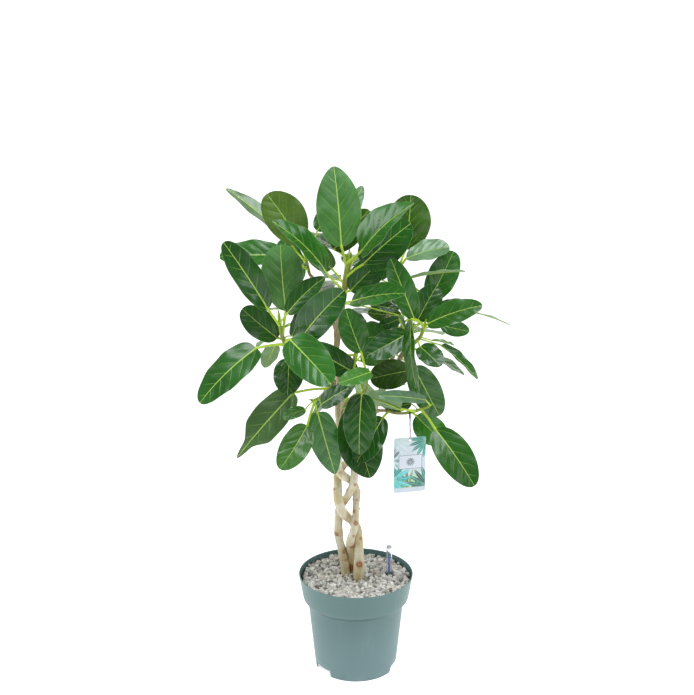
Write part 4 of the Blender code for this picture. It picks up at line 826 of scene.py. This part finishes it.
def stalkFinish():
    finish, tree, shader = newFinish("greenStalk", tone(150, 184, 44), 0.42)
    ripe = attribute(tree, "ripe").outputs["Fac"]
    cloud = speckle(tree, 60.0, 3.0)
    ripe = sums(tree, "ADD", ripe, sums(tree, "MULTIPLY_ADD", cloud, 0.24, -0.12))
    colour = mixed(tree, fade(tree, ripe, 0.0, 0.42), tone(140, 116, 86), tone(122, 124, 58))
    colour = mixed(tree, fade(tree, ripe, 0.40, 0.75), colour, tone(134, 164, 44))
    colour = mixed(tree, fade(tree, ripe, 0.75, 1.0), colour, tone(172, 202, 52))
    colour = mixed(tree, times(tree, fade(tree, speckle(tree, 700.0, 2.0), 0.60, 0.72), 0.30), colour, tone(120, 96, 52))
    tree.links.new(colour, shader.inputs["Base Color"])
    addBump(tree, shader, sums(tree, "ADD", speckle(tree, 500.0, 3.0), times(tree, cloud, 0.5)), 0.0003, 0.5)
    return finish


def bladeOutline(t, widest, point, heel, tail):  # half width at t from base to tip, as a share of its greatest
    share = min(1.0, max(0.0, (t - 0.15) / 0.5))
    blunt = heel + (point - heel) * share * share * (3 - 2 * share)
    end = min(1.0, max(0.0, (t - 0.58) / 0.24))
    return max(0.0, math.sin(math.pi * t ** widest)) ** blunt * (1.0 - tail * end * end * (3 - 2 * end))


def leafQuilt(s, across, t):  # the blade swells a little between two side veins
    level = t - (leaf["veinShift"] if s > 0 else 0.0) - leaf["veinSlope"] * across - leaf["veinCurve"] * across * across
    wave = math.cos(math.tau * (leaf["veins"] * level - leaf["veinStart"]))
    return -leaf["quilt"] * wave * (4 * t * (1 - t)) ** 0.5 * (1 - s * s) * min(1.0, abs(s) * 4)


def leafPattern():  # one flat blade, -1 to 1 across and 0 to 1 along, that every leaf is copied from
    startPiece()
    bpy.ops.mesh.primitive_grid_add(x_subdivisions=leaf["columns"], y_subdivisions=leaf["rows"], size=2.0)
    pattern = bpy.context.object
    for vertex in pattern.data.vertices:
        vertex.co.y = 0.5 - 0.5 * math.cos(math.pi * (vertex.co.y + 1) / 2)
    bpy.ops.object.mode_set(mode="EDIT")
    for end in (0.0, 1.0):  # each end of the blade draws in to one point
        bpy.ops.mesh.select_all(action="DESELECT")
        shape = bmesh.from_edit_mesh(pattern.data)
        for vertex in shape.verts:
            vertex.select = abs(vertex.co.y - end) < 1e-5
        shape.select_flush_mode()
        bmesh.update_edit_mesh(pattern.data)
        bpy.ops.mesh.merge(type="CENTER")
    bpy.ops.object.mode_set(mode="OBJECT")
    for layer in list(pattern.data.uv_layers):
        pattern.data.uv_layers.remove(layer)
    return pattern


def stemPoint(path, place):  # the point at a share of the path's length
    lengths = [(there - here).to_3d().length for here, there in zip(path, path[1:])]
    left = place * sum(lengths)
    for here, there, length in zip(path, path[1:], lengths):
        if left <= length:
            return here.lerp(there, left / length)
        left -= length
    return path[-1].copy()


def farLeaf(path, place, azimuth, rise, stalk, length, width):
    turn, climb, droop = math.radians(azimuth), math.radians(rise), math.radians(rise - 16)
    out = Vector((math.cos(turn), math.sin(turn), 0.0))
    base = stemPoint(path, place).to_3d() + (out * math.cos(climb) + Vector((0, 0, math.sin(climb)))) * stalk
    tip = base + (out * math.cos(droop) + Vector((0, 0, math.sin(droop)))) * length
    return place, base, tip, width, out * 0.55 + Vector((0, 0, 0.85)), "mid"


def bladeFrame(base, tip, facing):
    length = (tip - base).length
    along = (tip - base) / length
    face = Vector(facing)
    face = (face - along * face.dot(along)).normalized()
    return length, along, face, along.cross(face)


def makeBlade(pattern, row, draw):
    _, base, tip, width, facing, look = row
    look = dict(shade=look) if isinstance(look, str) else look
    base, tip = Vector(base), Vector(tip)
    length, along, face, across = bladeFrame(base, tip, facing)
    fold = math.radians(look.get("fold", leaf["fold"] + draw.uniform(-3, 3)))
    bow = leaf["bow"]
    twist = math.radians(look.get("twist", draw.uniform(-5, 5)))
    droop = look.get("droop", draw.uniform(0.0, 0.02))
    sway = look.get("sway", draw.uniform(-0.02, 0.02))
    point = look.get("point", draw.uniform(0.46, 0.54))
    widest = look.get("widest", draw.uniform(0.84, 0.98))
    heel, tail = look.get("heel", 0.40), look.get("tail", 0.0)
    phase, waves = draw.uniform(0, math.tau), draw.uniform(2.2, 3.2)
    lobes = (look.get("leftWidth", 1.0), look.get("rightWidth", 1.0))
    blade = pattern.copy()
    blade.data = pattern.data.copy()
    bpy.context.scene.collection.objects.link(blade)
    mapped, edges = [], []
    for vertex in blade.data.vertices:
        s, t = vertex.co.x, vertex.co.y
        half = width / 2 * bladeOutline(t, widest, point, heel, tail) * lobes[0 if s < 0 else 1]
        flat = s * half
        swell = 4 * t * (1 - t)
        bend = fold * (1.15 - 0.45 * t)
        lift = abs(flat) * math.sin(bend)
        ripple = math.sin(waves * math.tau * t + phase + (0 if s < 0 else 1.9))
        lift += leaf["wave"] * ripple * s * s * swell * min(1.0, width / 0.05)
        lift -= 0.10 * half * s * s * swell
        lift += leafQuilt(s, abs(flat) / length, t) * min(1.0, width / 0.06)
        aside = flat * math.cos(bend)
        turn = twist * t * t
        aside, lift = aside * math.cos(turn) - lift * math.sin(turn), aside * math.sin(turn) + lift * math.cos(turn)
        spine = base + along * length * t + face * length * (bow * swell - droop * t ** 3) + across * length * sway * swell
        vertex.co = spine + across * aside + face * lift
        mapped.append((flat / length, t))
        edges.append(abs(s))
    layer = blade.data.uv_layers.new(name="bladeMap")
    for loop in blade.data.loops:
        layer.uv[loop.index].vector = mapped[loop.vertex_index]
    paint(blade, "edgeShare", edges)
    shade = [part * draw.uniform(0.90, 1.10) for part in leafShades[look["shade"]][:3]] + [1.0]
    colours = blade.data.attributes.new("leafShade", "FLOAT_COLOR", "POINT")
    colours.data.foreach_set("color", shade * len(edges))
    spine = []
    for t in leaf["spine"]:
        rise = face * length * (bow * 4 * t * (1 - t) - droop * t ** 3)
        spine.append(base + along * length * t + rise + across * length * sway * 4 * t * (1 - t))
    return blade, spine, face


def makeStalk(path, row, spine, face, draw):  # from the stem to the blade, then on under it as its midrib
    root = stemPoint(path, row[0])
    base = Vector(row[1])
    reach = (base - root.to_3d()).length
    big = min(1.0, max(0.55, row[3] / 0.06))
    radius = leaf["stalkRadius"] * big
    bend = root.to_3d().lerp(base, 0.5) - face * 0.06 * reach + Vector((0, 0, 0.05 * reach))
    points = [(*root.to_3d(), radius * 1.5), (*root.to_3d().lerp(bend, 0.25), radius * 1.15), (*bend, radius),
              (*(bend.lerp(base, 0.75)), radius * 1.05), (*(base - face * 0.0006), radius * 1.15)]
    for place, spot in enumerate(spine):
        thick = radius * (0.85 - 0.085 * place)
        points.append((*(spot - face * (thick * 0.72 + 0.0003)), thick))
    return sweep("stalk", smoothRun(points, 3), leaf["stalkSides"])


def makeShoot(node, name, finishes):
    (stemName, runNumber), listed, rows = shoots[node]
    draw = random.Random(node)
    before, end = smoothRun(stems[stemName][runNumber], 2)[-2:]
    onward = (end - before).to_3d().normalized()
    start = end.to_3d() + onward * 0.0003
    path = [Vector((*(start - onward * 0.004), end[3] * 0.92)), Vector((*(start + onward * 0.005), end[3] * 0.97))]
    path += [Vector(point) for point in listed]
    budTip = path[-1].copy()
    budBase = path[-2].copy()
    smooth = smoothRun(path[:-1], 8)
    bud = [budBase.lerp(budTip, share) for share in (0.12, 0.28, 0.46, 0.66, 0.84, 1.0)]
    for spot, size in zip(bud, (0.92, 0.98, 0.90, 0.66, 0.36, 0.06)):
        spot[3] = budBase[3] * size
    plain = [Vector((*(start + onward * 0.0001), end[3])), Vector((*(start + onward * 0.005), end[3] * 0.97))]
    plain += [Vector(point) for point in listed]
    stem = sweep("shootStem", smooth + bud, 14)
    nearest = pathIndex(smooth + bud)
    count = len(smooth + bud)
    ripe = []
    for vertex in stem.data.vertices:
        _, place, _ = nearest.find(vertex.co)
        ripe.append(0.10 + 0.70 * place / count)
        outward = vertex.co - (smooth + bud)[place].to_3d()
        for row in rows:  # a low collar where each leaf leaves the stem
            apart = (vertex.co - stemPoint(plain, row[0]).to_3d()).length
            vertex.co += outward.normalized() * 0.0005 * math.exp(-(apart / 0.0045) ** 2)
    paint(stem, "ripe", ripe)
    blades, stalks = [], [stem]
    for row in rows:
        if len(row) == 6 and not isinstance(row[1], tuple):
            row = farLeaf(plain, *row)
        blade, spine, face = makeBlade(bladePattern, row, draw)
        blades.append(blade)
        stalk = makeStalk(plain, row, spine, face, draw)
        paint(stalk, "ripe", [0.95] * len(stalk.data.vertices))
        stalks.append(stalk)
    leaves = joined("blades", blades)
    leaves.data.materials.append(finishes[0])
    leaves.data.materials.append(finishes[1])
    applyModifier(leaves, "SOLIDIFY", thickness=leaf["thickness"], offset=-1.0, material_offset=1, material_offset_rim=1,
                  use_quality_normals=True)
    smoothShade(leaves, 50)
    green = joined("green", stalks)
    green.data.materials.append(finishes[2])
    smoothShade(green, 60)
    piece = joined(name, [leaves, green])
    finishPiece(piece, [node], "leaves")


bladePattern = leafPattern()
leafFinishes = (bladeFinish("bladeTop", True), bladeFinish("bladeUnder", False), stalkFinish())
shootNames = {
    "shoot_top": "topLeaves", "shoot_upper_left": "upperLeftLeaves",
    "shoot_left": "leftLeaves", "shoot_low_left": "lowLeftLeaves",
    "shoot_front": "frontLeaves", "shoot_tag": "tagBranchLeaves",
    "shoot_right": "rightLeaves", "shoot_upper_right": "upperRightLeaves",
    "shoot_right_rear": "rightRearLeaves", "shoot_far_top": "farTopLeaves",
    "shoot_far_left": "farLeftLeaves", "shoot_far_right": "farRightLeaves",
    "shoot_far_low": "farLowLeaves",
}
for node, name in shootNames.items():
    makeShoot(node, name, leafFinishes)
bpy.data.objects.remove(bladePattern)
print("leaves made")

# Pumice grains on the fill

grains = {"spacing": 0.0076, "level": 0.2018, "edge": 0.1146, "seed": 21, "kinds": 6, "gauge": (0.0711, 0.010, 0.0090),
          "cube": 0.0074, "roundness": 0.55, "rough": 0.0013, "radius": 0.0039, "sizes": (0.72, 0.85, 0.95, 1.05, 1.18),
          "topSpacing": 0.0100, "topRise": 0.0024, "topSize": 0.90, "topLeftOut": 0.40, "scatter": 0.35,
          "tones": [(226, 224, 219), (204, 202, 197), (238, 236, 232), (216, 205, 199), (182, 180, 175), (222, 217, 205),
                    (140, 137, 132)]}


def grainFinish():
    finish, tree, shader = newFinish("pumice", tone(214, 207, 201), 0.92)
    shade = attribute(tree, "grainShade").outputs["Color"]
    pores = addNode(tree, "TexVoronoi", {"Vector": objectPlace(tree), "Scale": 1100.0}).outputs[0]
    pit = fade(tree, pores, 0.10, 0.34, 1.0, 0.0)
    cloud = speckle(tree, 300.0, 4.0)
    colour = mixed(tree, fade(tree, cloud, 0.38, 0.66), shade, tinted(tree, shade, 0.80, 0.78, 0.76))
    colour = mixed(tree, times(tree, pit, 0.60), colour, tone(112, 106, 100))
    tree.links.new(colour, shader.inputs["Base Color"])
    addBump(tree, shader, sums(tree, "SUBTRACT", cloud, times(tree, pit, 0.8)), 0.0006, 0.9)
    return finish


# The fill under the grains is painted dark: painted shade in the gaps between the grains.
def gapShadeFinish():
    finish, tree, shader = newFinish("grainGapShade", tone(120, 112, 104), 0.95)
    colour = mixed(tree, fade(tree, speckle(tree, 240.0, 4.0), 0.4, 0.62), tone(34, 32, 30), tone(72, 68, 64))
    tree.links.new(colour, shader.inputs["Base Color"])
    addBump(tree, shader, speckle(tree, 260.0, 4.0), 0.0015, 1.0)
    return finish


def grainPatterns():
    made = []
    for kind in range(grains["kinds"]):
        startPiece()
        bpy.ops.mesh.primitive_cube_add(size=grains["cube"])
        piece = bpy.context.object
        bpy.ops.object.mode_set(mode="EDIT")
        bpy.ops.mesh.select_all(action="SELECT")
        bpy.ops.mesh.subdivide(number_cuts=1)
        bpy.ops.transform.tosphere(value=grains["roundness"])
        bpy.ops.transform.vertex_random(offset=grains["rough"], uniform=0.2, seed=kind)
        bpy.ops.object.mode_set(mode="OBJECT")
        bpy.ops.object.shade_smooth_by_angle(angle=math.radians(34))
        made.append(piece)
    return made


def spreadGrains():
    draw = random.Random(grains["seed"])
    patterns = grainPatterns()
    feet = [(runs[0][1][0], runs[0][1][1], runs[0][1][3] + 0.0016) for runs in stems.values()] + [grains["gauge"]]
    tones = [tone(*shade) for shade in grains["tones"]]
    layers = ((grains["spacing"], grains["level"], 1.0), (grains["topSpacing"], grains["level"] + grains["topRise"],
            grains["topSize"]))
    placed = []
    for layer, (spacing, level, size) in enumerate(layers):
        row = spacing * math.sqrt(3) / 2
        reach = int(grains["edge"] / row) + 1
        for line in range(-reach, reach + 1):
            for step in range(-reach - 2, reach + 3):
                x = spacing * (step + 0.5 * (line % 2)) + draw.uniform(-grains["scatter"], grains["scatter"]) * spacing
                y = row * line + draw.uniform(-grains["scatter"], grains["scatter"]) * spacing
                scale = size * draw.choice(grains["sizes"])
                radius = grains["radius"] * scale
                if math.hypot(x, y) > grains["edge"] + 0.0012 - radius:
                    continue
                if any(math.hypot(x - foot[0], y - foot[1]) < foot[2] + radius * 0.6 for foot in feet):
                    continue
                if layer == 1 and draw.random() < grains["topLeftOut"]:
                    continue
                placed.append((x, y, level + draw.uniform(-0.0008, 0.0010), scale))
    pieces = []
    for x, y, z, scale in placed:
        pattern = draw.choice(patterns)
        grain = pattern.copy()
        grain.data = pattern.data.copy()
        bpy.context.scene.collection.objects.link(grain)
        turn = Matrix.Rotation(draw.uniform(0, math.tau), 4, (draw.uniform(-1, 1), draw.uniform(-1, 1), draw.uniform(0.1, 1)))
        stretch = Matrix.Diagonal((scale * draw.uniform(0.85, 1.2), scale * draw.uniform(0.8, 1.1),
                                   scale * draw.uniform(0.7, 0.95), 1.0))
        grain.data.transform(Matrix.Translation((x, y, z)) @ turn @ stretch)
        colours = grain.data.attributes.new("grainShade", "FLOAT_COLOR", "POINT")
        shade = draw.choice(tones)
        bright = draw.uniform(0.92, 1.12)
        colours.data.foreach_set("color", ([part * bright for part in shade[:3]] + [1.0]) * len(grain.data.vertices))
        pieces.append(grain)
    for pattern in patterns:
        bpy.data.objects.remove(pattern)
    print(len(pieces), "grains")
    return joined("pumiceGrains", pieces)


finishPiece(spreadGrains(), [], "granules", grainFinish())
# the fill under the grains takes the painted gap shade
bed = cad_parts["granules"]
bed.data.materials.clear()
bed.data.materials.append(gapShadeFinish())
print("grains made")

# Water gauge

gauge = {
    "place": (0.0711, 0.010), "sides": 48,
    "tube": [(0.0054, 0.1400), (0.0066, 0.1400), (0.0066, 0.2020), (0.0064, 0.2095), (0.0061, 0.2235), (0.0060, 0.2435),
             (0.0060, 0.2690),
             (0.0058, 0.2703), (0.0052, 0.2712), (0.0044, 0.2715), (0.0, 0.2715), (0.0, 0.2693), (0.0046, 0.2693), (0.0053,
                     0.2685),
             (0.0053, 0.2435), (0.0054, 0.2035), (0.0054, 0.1400)],
    "rod": [(0.0, 0.1400), (0.0021, 0.1400), (0.0021, 0.2267), (0.0021, 0.2453), (0.0018, 0.2463), (0.0011, 0.2467),
            (0.0, 0.2467)],
    "mark": [(0.0019, 0.2267), (0.0024, 0.2267), (0.0026, 0.2272), (0.0026, 0.2288), (0.0024, 0.2293), (0.0019, 0.2293),
             (0.0019, 0.2267)],
    "foot": [(0.0069, 0.2005), (0.0087, 0.2005), (0.0092, 0.2015), (0.0092, 0.2040), (0.0086, 0.2057), (0.0074, 0.2065),
             (0.0069, 0.2061), (0.0069, 0.2005)],
    "cap": [(0.0, 0.2655), (0.0047, 0.2655), (0.0048, 0.2667), (0.0048, 0.2683), (0.0, 0.2683)],
}


def plainFinish(name, colour, roughness, scale, rise):
    finish, tree, shader = newFinish(name, colour, roughness)
    cloud = speckle(tree, scale, 3.0)
    dark = tuple(part * 0.82 for part in colour[:3]) + (1.0,)
    tree.links.new(mixed(tree, fade(tree, cloud, 0.35, 0.65), colour, dark), shader.inputs["Base Color"])
    tree.links.new(sums(tree, "MULTIPLY_ADD", cloud, 0.16, roughness - 0.08), shader.inputs["Roughness"])
    addBump(tree, shader, cloud, rise, 0.5)
    return finish


def clearFinish():
    finish, tree, shader = newFinish("clearTube", tone(246, 249, 252), 0.10)
    shader.inputs["Transmission Weight"].default_value = 0.94
    shader.inputs["IOR"].default_value = 1.22
    tree.links.new(sums(tree, "MULTIPLY_ADD", speckle(tree, 120.0, 3.0), 0.14, 0.02), shader.inputs["Roughness"])
    addBump(tree, shader, speckle(tree, 200.0, 2.0), 0.0001, 0.25)
    return finish


def gaugePiece(name, outline):
    piece = spun(name, gauge[outline], gauge["sides"], gauge["place"])
    smoothShade(piece, 35)
    return piece


tubePiece = gaugePiece("gaugeTube", "tube")
finishPiece(tubePiece, ["gauge_tube"], "clear_plastic", clearFinish())
rodPiece = gaugePiece("gaugeFloat", "rod")
rodPiece.data.materials.append(plainFinish("blueRod", tone(40, 130, 232), 0.32, 300.0, 0.0001))
markPiece = gaugePiece("floatMark", "mark")
markPiece.data.materials.append(plainFinish("redMark", tone(150, 36, 44), 0.40, 300.0, 0.0001))
capPiece = gaugePiece("tubeCap", "cap")
capPiece.data.materials.append(plainFinish("whiteCap", tone(226, 232, 238), 0.45, 90.0, 0.00003))
finishPiece(joined("gaugeFloat", [rodPiece, markPiece, capPiece]), ["gauge_float"], "blue_plastic")
footPiece = gaugePiece("gaugeFoot", "foot")
finishPiece(footPiece, ["gauge_collar"], "dark_rubber", plainFinish("darkFoot", tone(36, 44, 58), 0.55, 400.0, 0.0002))
print("gauge made")

# Hang tag and its tie

tag = {
    "centre": (0.109, -0.057, 0.482), "width": 0.067, "height": 0.120, "thickness": 0.0006, "corner": 0.003, "turn": 13.0,
    "holeRadius": 0.0025, "holeDrop": 0.0065, "curl": 0.0012, "foot": -0.0495,
    "tieRadius": 0.0009, "tieSpread": 0.8, "tieReach": 0.0020, "tieDrop": 0.0022,
    "panel": (0.0015, 0.0060, 0.0245, 0.0150),  # middle across and up, half width, half height
    # painted fans of blades: middle across and up, reach, blades in a full turn, start, light and deep tone
    "fans": [
        (-0.040, 0.064, 0.052, 22, 0.1, (202, 220, 224), (140, 176, 184)),
        (0.036, 0.052, 0.042, 17, 0.3, (70, 178, 160), (28, 120, 104)),
        (-0.006, -0.062, 0.056, 26, 0.0, (160, 208, 128), (74, 118, 66)),
        (-0.038, -0.030, 0.046, 15, 0.4, (96, 196, 196), (40, 142, 142)),
        (0.038, -0.050, 0.050, 18, 0.2, (80, 184, 160), (34, 76, 76)),
        (-0.040, 0.012, 0.028, 14, 0.7, (190, 214, 214), (84, 108, 116)),
    ],
    "emblem": (0.0015, 0.0060, 0.0105, 12, 0.5, (128, 138, 146), (96, 106, 114)),
}


def paintedFan(tree, flat, colour, shownOn, fan):
    across, up, reachFull, count, start, light, deep = fan
    offset = addNode(tree, "VectorMath", {0: flat, 1: (across, up, 0.0)}, operation="SUBTRACT").outputs[0]
    spot = addNode(tree, "SeparateXYZ", {0: offset})
    length = addNode(tree, "VectorMath", {0: offset}, operation="LENGTH").outputs["Value"]
    reach = sums(tree, "DIVIDE", length, reachFull)
    angle = sums(tree, "MULTIPLY_ADD", sums(tree, "ARCTAN2", spot.outputs["Y"], spot.outputs["X"]), count / math.tau, start)
    beside = times(tree, sums(tree, "ABSOLUTE", sums(tree, "SUBTRACT", sums(tree, "FRACT", angle), 0.5)), 2.0)
    wide = sums(tree, "SINE", times(tree, sums(tree, "POWER", sums(tree, "MINIMUM", reach, 1.0), 0.7), math.pi))
    inside = fade(tree, sums(tree, "SUBTRACT", beside, wide), -0.10, 0.0, 1.0, 0.0)
    inside = times(tree, times(tree, inside, sums(tree, "LESS_THAN", reach, 1.0)), shownOn)
    chance = addNode(tree, "TexWhiteNoise", {"W": sums(tree, "FLOOR", angle)}, noise_dimensions="1D").outputs["Value"]
    painted = mixed(tree, fade(tree, sums(tree, "MULTIPLY_ADD", speckle(tree, 160.0, 3.0), 0.8,
                                          sums(tree, "ADD", chance, -0.4)), 0.1, 0.9), tone(*light), tone(*deep))
    painted = mixed(tree, fade(tree, beside, 0.04, 0.14, 0.45, 0.0), painted, tone(226, 238, 238))
    return mixed(tree, inside, colour, painted)


def cardFinish():
    finish, tree, shader = newFinish("cardPrint", tone(226, 230, 238), 0.38)
    flat = addNode(tree, "UVMap", uv_map="cardMap").outputs[0]  # across and up on the card, in metres
    spot = addNode(tree, "SeparateXYZ", {0: flat})
    wash = speckle(tree, 70.0, 4.0)
    colour = mixed(tree, fade(tree, wash, 0.35, 0.65), tone(206, 212, 222), tone(192, 204, 214))
    printed = fade(tree, spot.outputs["Y"], tag["foot"], tag["foot"] + 0.0004)
    for fan in tag["fans"]:
        colour = paintedFan(tree, flat, colour, printed, fan)
    middleX, middleY, halfWide, halfTall = tag["panel"]
    wideIn = sums(tree, "SUBTRACT", sums(tree, "ABSOLUTE", sums(tree, "SUBTRACT", spot.outputs["X"], middleX)), halfWide)
    tallIn = sums(tree, "SUBTRACT", sums(tree, "ABSOLUTE", sums(tree, "SUBTRACT", spot.outputs["Y"], middleY)), halfTall)
    outside = sums(tree, "MAXIMUM", wideIn, tallIn)
    panel = fade(tree, outside, 0.0, 0.0002, 1.0, 0.0)
    border = fade(tree, sums(tree, "ABSOLUTE", sums(tree, "ADD", outside, 0.0004)), 0.0003, 0.0006, 1.0, 0.0)
    colour = mixed(tree, panel, colour, tone(208, 213, 224))
    colour = paintedFan(tree, flat, colour, panel, tag["emblem"])
    colour = mixed(tree, times(tree, border, 0.85), colour, tone(66, 82, 92))
    tree.links.new(colour, shader.inputs["Base Color"])
    tree.links.new(sums(tree, "MULTIPLY_ADD", wash, 0.12, 0.30), shader.inputs["Roughness"])
    addBump(tree, shader, speckle(tree, 1200.0, 2.0), 0.00005, 0.4)
    return finish


def cardBackFinish():
    finish, tree, shader = newFinish("cardBack", tone(228, 229, 232), 0.55)
    colour = mixed(tree, fade(tree, speckle(tree, 90.0, 4.0), 0.35, 0.65), tone(230, 231, 233), tone(218, 220, 224))
    tree.links.new(colour, shader.inputs["Base Color"])
    addBump(tree, shader, speckle(tree, 1500.0, 3.0), 0.00008, 0.5)
    return finish


def makeCard():
    startPiece()
    bpy.ops.mesh.primitive_plane_add(size=1)
    card = bpy.context.object
    card.data.transform(Matrix.Diagonal((tag["width"], tag["height"], 1, 1)))
    bpy.ops.object.mode_set(mode="EDIT")
    bpy.ops.mesh.select_all(action="SELECT")
    bpy.ops.mesh.bevel(offset=tag["corner"], segments=5, affect="VERTICES")
    for place in range(1, 12):  # cross cuts, so that the card can curl
        bpy.ops.mesh.select_all(action="SELECT")
        bpy.ops.mesh.bisect(plane_co=(0, tag["height"] * (place / 12 - 0.5), 0), plane_no=(0, 1, 0))
    bpy.ops.object.mode_set(mode="OBJECT")
    applyModifier(card, "SOLIDIFY", thickness=tag["thickness"], offset=0.0)
    startPiece()
    bpy.ops.mesh.primitive_cylinder_add(vertices=32, radius=tag["holeRadius"], depth=0.01,
                                        location=(0, tag["height"] / 2 - tag["holeDrop"], 0))
    punch = bpy.context.object
    applyModifier(card, "BOOLEAN", operation="DIFFERENCE", object=punch, solver="EXACT")
    bpy.data.objects.remove(punch)
    applyModifier(card, "BEVEL", width=0.00012, segments=2, limit_method="ANGLE", angle_limit=math.radians(60))
    card.data.materials.append(cardFinish())
    card.data.materials.append(cardBackFinish())
    for layer in list(card.data.uv_layers):
        card.data.uv_layers.remove(layer)
    layer = card.data.uv_layers.new(name="cardMap")
    for face in card.data.polygons:
        face.material_index = 0 if face.normal.z > 0.5 else 1
        for number in face.loop_indices:
            layer.uv[number].vector = card.data.vertices[card.data.loops[number].vertex_index].co[:2]
    for vertex in card.data.vertices:
        share = vertex.co.y / (tag["height"] / 2)
        vertex.co.z += tag["curl"] * share * share - tag["curl"] * 0.9 * (vertex.co.x / (tag["width"] / 2)) ** 2 * 0.4
    upright = Matrix.Rotation(math.radians(90), 4, "X")
    card.data.transform(Matrix.Translation(tag["centre"]) @ Matrix.Rotation(math.radians(tag["turn"]), 4, "Z") @ upright)
    card.name = card.data.name = "hangTag"
    smoothShade(card, 30)
    return card


def tieFinish():
    finish, tree, shader = newFinish("tieStrip", tone(205, 200, 205), 0.38)
    height = addNode(tree, "SeparateXYZ", {0: objectPlace(tree)}).outputs["Z"]
    colour = mixed(tree, fade(tree, speckle(tree, 200.0, 3.0), 0.35, 0.65), tone(182, 175, 188), tone(202, 196, 208))
    colour = mixed(tree, fade(tree, height, 0.580, 0.584), colour, tone(22, 25, 24))
    tree.links.new(colour, shader.inputs["Base Color"])
    addBump(tree, shader, speckle(tree, 900.0, 2.0), 0.0001, 0.4)
    return finish


def makeTie():
    branch = Vector(shoots["shoot_tag"][1][1][:3])
    bend = shoots["shoot_tag"][1][1][3] + 0.0010
    hole = Vector(tag["centre"]) + Vector((0, 0, tag["height"] / 2 - tag["holeDrop"] + tag["holeRadius"] - 0.0010))
    reach, drop, radius = tag["tieReach"], tag["tieDrop"], tag["tieRadius"]
    behind = (Vector((branch.x, branch.y + bend, branch.z, radius)), Vector((hole.x, hole.y + reach, hole.z + drop, radius)))
    before = (Vector((hole.x, hole.y - reach, hole.z + drop, radius)), Vector((branch.x, branch.y - bend, branch.z, radius)))
    halfTurn = [math.pi * step / 12 for step in range(13)]
    loop = [Vector((branch.x, branch.y - bend * math.cos(turn), branch.z + bend * math.sin(turn), radius)) for turn in halfTurn]
    loop += [behind[0].lerp(behind[1], step / 12) for step in range(1, 12)]
    loop += [Vector((hole.x, hole.y + reach * math.cos(turn), hole.z + drop - drop * math.sin(turn),
                     radius)) for turn in halfTurn]
    loop += [before[0].lerp(before[1], step / 12) for step in range(1, 12)]
    loop.append(loop[0].copy())
    strip = sweep("tagTie", loop, 12)
    for vertex in strip.data.vertices:  # a flat strip, wider than it is thick
        vertex.co.x += (vertex.co.x - branch.x) * tag["tieSpread"]
    return strip


finishPiece(makeCard(), ["tag_card"], "printed_card")
tie = makeTie()
smoothShade(tie, 60)
finishPiece(tie, ["tag_tie"], "tie_plastic", tieFinish())
print("tag made")

# Floor and light

studio = {"lampTone": (0.93, 0.97, 1.0), "world": 0.26, "floorGlow": 0.66, "aim": (0, 0, 0.6),
          # place, size and power
          "lamps": {
              "topLight": ((0.2, -0.7, 2.5), (1.5, 1.1), 41.0),
              "leftLight": ((-2.1, 0.1, 1.3), (0.8, 1.8), 24.0),
              "rightLight": ((2.1, 0.1, 1.3), (0.8, 1.8), 20.0),
              "frontLight": ((0.5, -3.2, 2.5), (1.6, 1.0), 9.0),
          }}


def floorFinish():
    finish, tree, shader = newFinish("palePaper", tone(246, 246, 246), 0.85)
    colour = mixed(tree, fade(tree, speckle(tree, 3.0, 3.0), 0.3, 0.7), tone(245, 245, 245), tone(248, 248, 248))
    tree.links.new(colour, shader.inputs["Base Color"])
    shader.inputs["Emission Color"].default_value = (1.0, 1.0, 1.0, 1.0)
    shader.inputs["Emission Strength"].default_value = studio["floorGlow"]
    return finish


startPiece()
bpy.ops.mesh.primitive_plane_add(size=14, location=(0, 0, 0))
floor = bpy.context.object
floor.name = floor.data.name = "paperFloor"
bpy.ops.object.mode_set(mode="EDIT")
bpy.ops.mesh.select_all(action="DESELECT")
shape = bmesh.from_edit_mesh(floor.data)
for edge in shape.edges:
    edge.select = all(vertex.co.y > 6.9 for vertex in edge.verts)
shape.select_flush_mode()
bmesh.update_edit_mesh(floor.data)
bpy.ops.mesh.extrude_region_move(TRANSFORM_OT_translate={"value": (0, 0, 7)})
bpy.ops.mesh.select_all(action="DESELECT")
shape = bmesh.from_edit_mesh(floor.data)
for edge in shape.edges:
    edge.select = all(vertex.co.y > 6.9 and vertex.co.z < 0.1 for vertex in edge.verts)
shape.select_flush_mode()
bmesh.update_edit_mesh(floor.data)
bpy.ops.mesh.bevel(offset=3.0, segments=16, affect="EDGES")
bpy.ops.object.mode_set(mode="OBJECT")
smoothShade(floor, 60)
floor.data.materials.append(floorFinish())

world = bpy.data.worlds.new("studio")
bpy.context.scene.world = world
world.use_nodes = True
world.node_tree.nodes["Background"].inputs["Color"].default_value = (1.0, 1.0, 1.0, 1.0)
world.node_tree.nodes["Background"].inputs["Strength"].default_value = studio["world"]


def addLamp(name, place, size, power):
    startPiece()
    bpy.ops.object.light_add(type="AREA", location=place)
    lamp = bpy.context.object
    lamp.name = name
    lamp.data.shape = "RECTANGLE"
    lamp.data.size, lamp.data.size_y = size
    lamp.data.energy = power
    lamp.data.color = studio["lampTone"]
    lamp.rotation_euler = (Vector(studio["aim"]) - Vector(place)).to_track_quat("-Z", "Y").to_euler()


for name, lamp in studio["lamps"].items():
    addLamp(name, *lamp)
bpy.context.scene.view_settings.view_transform = "Standard"
bpy.context.scene.view_settings.look = "None"

print("floor and light made")
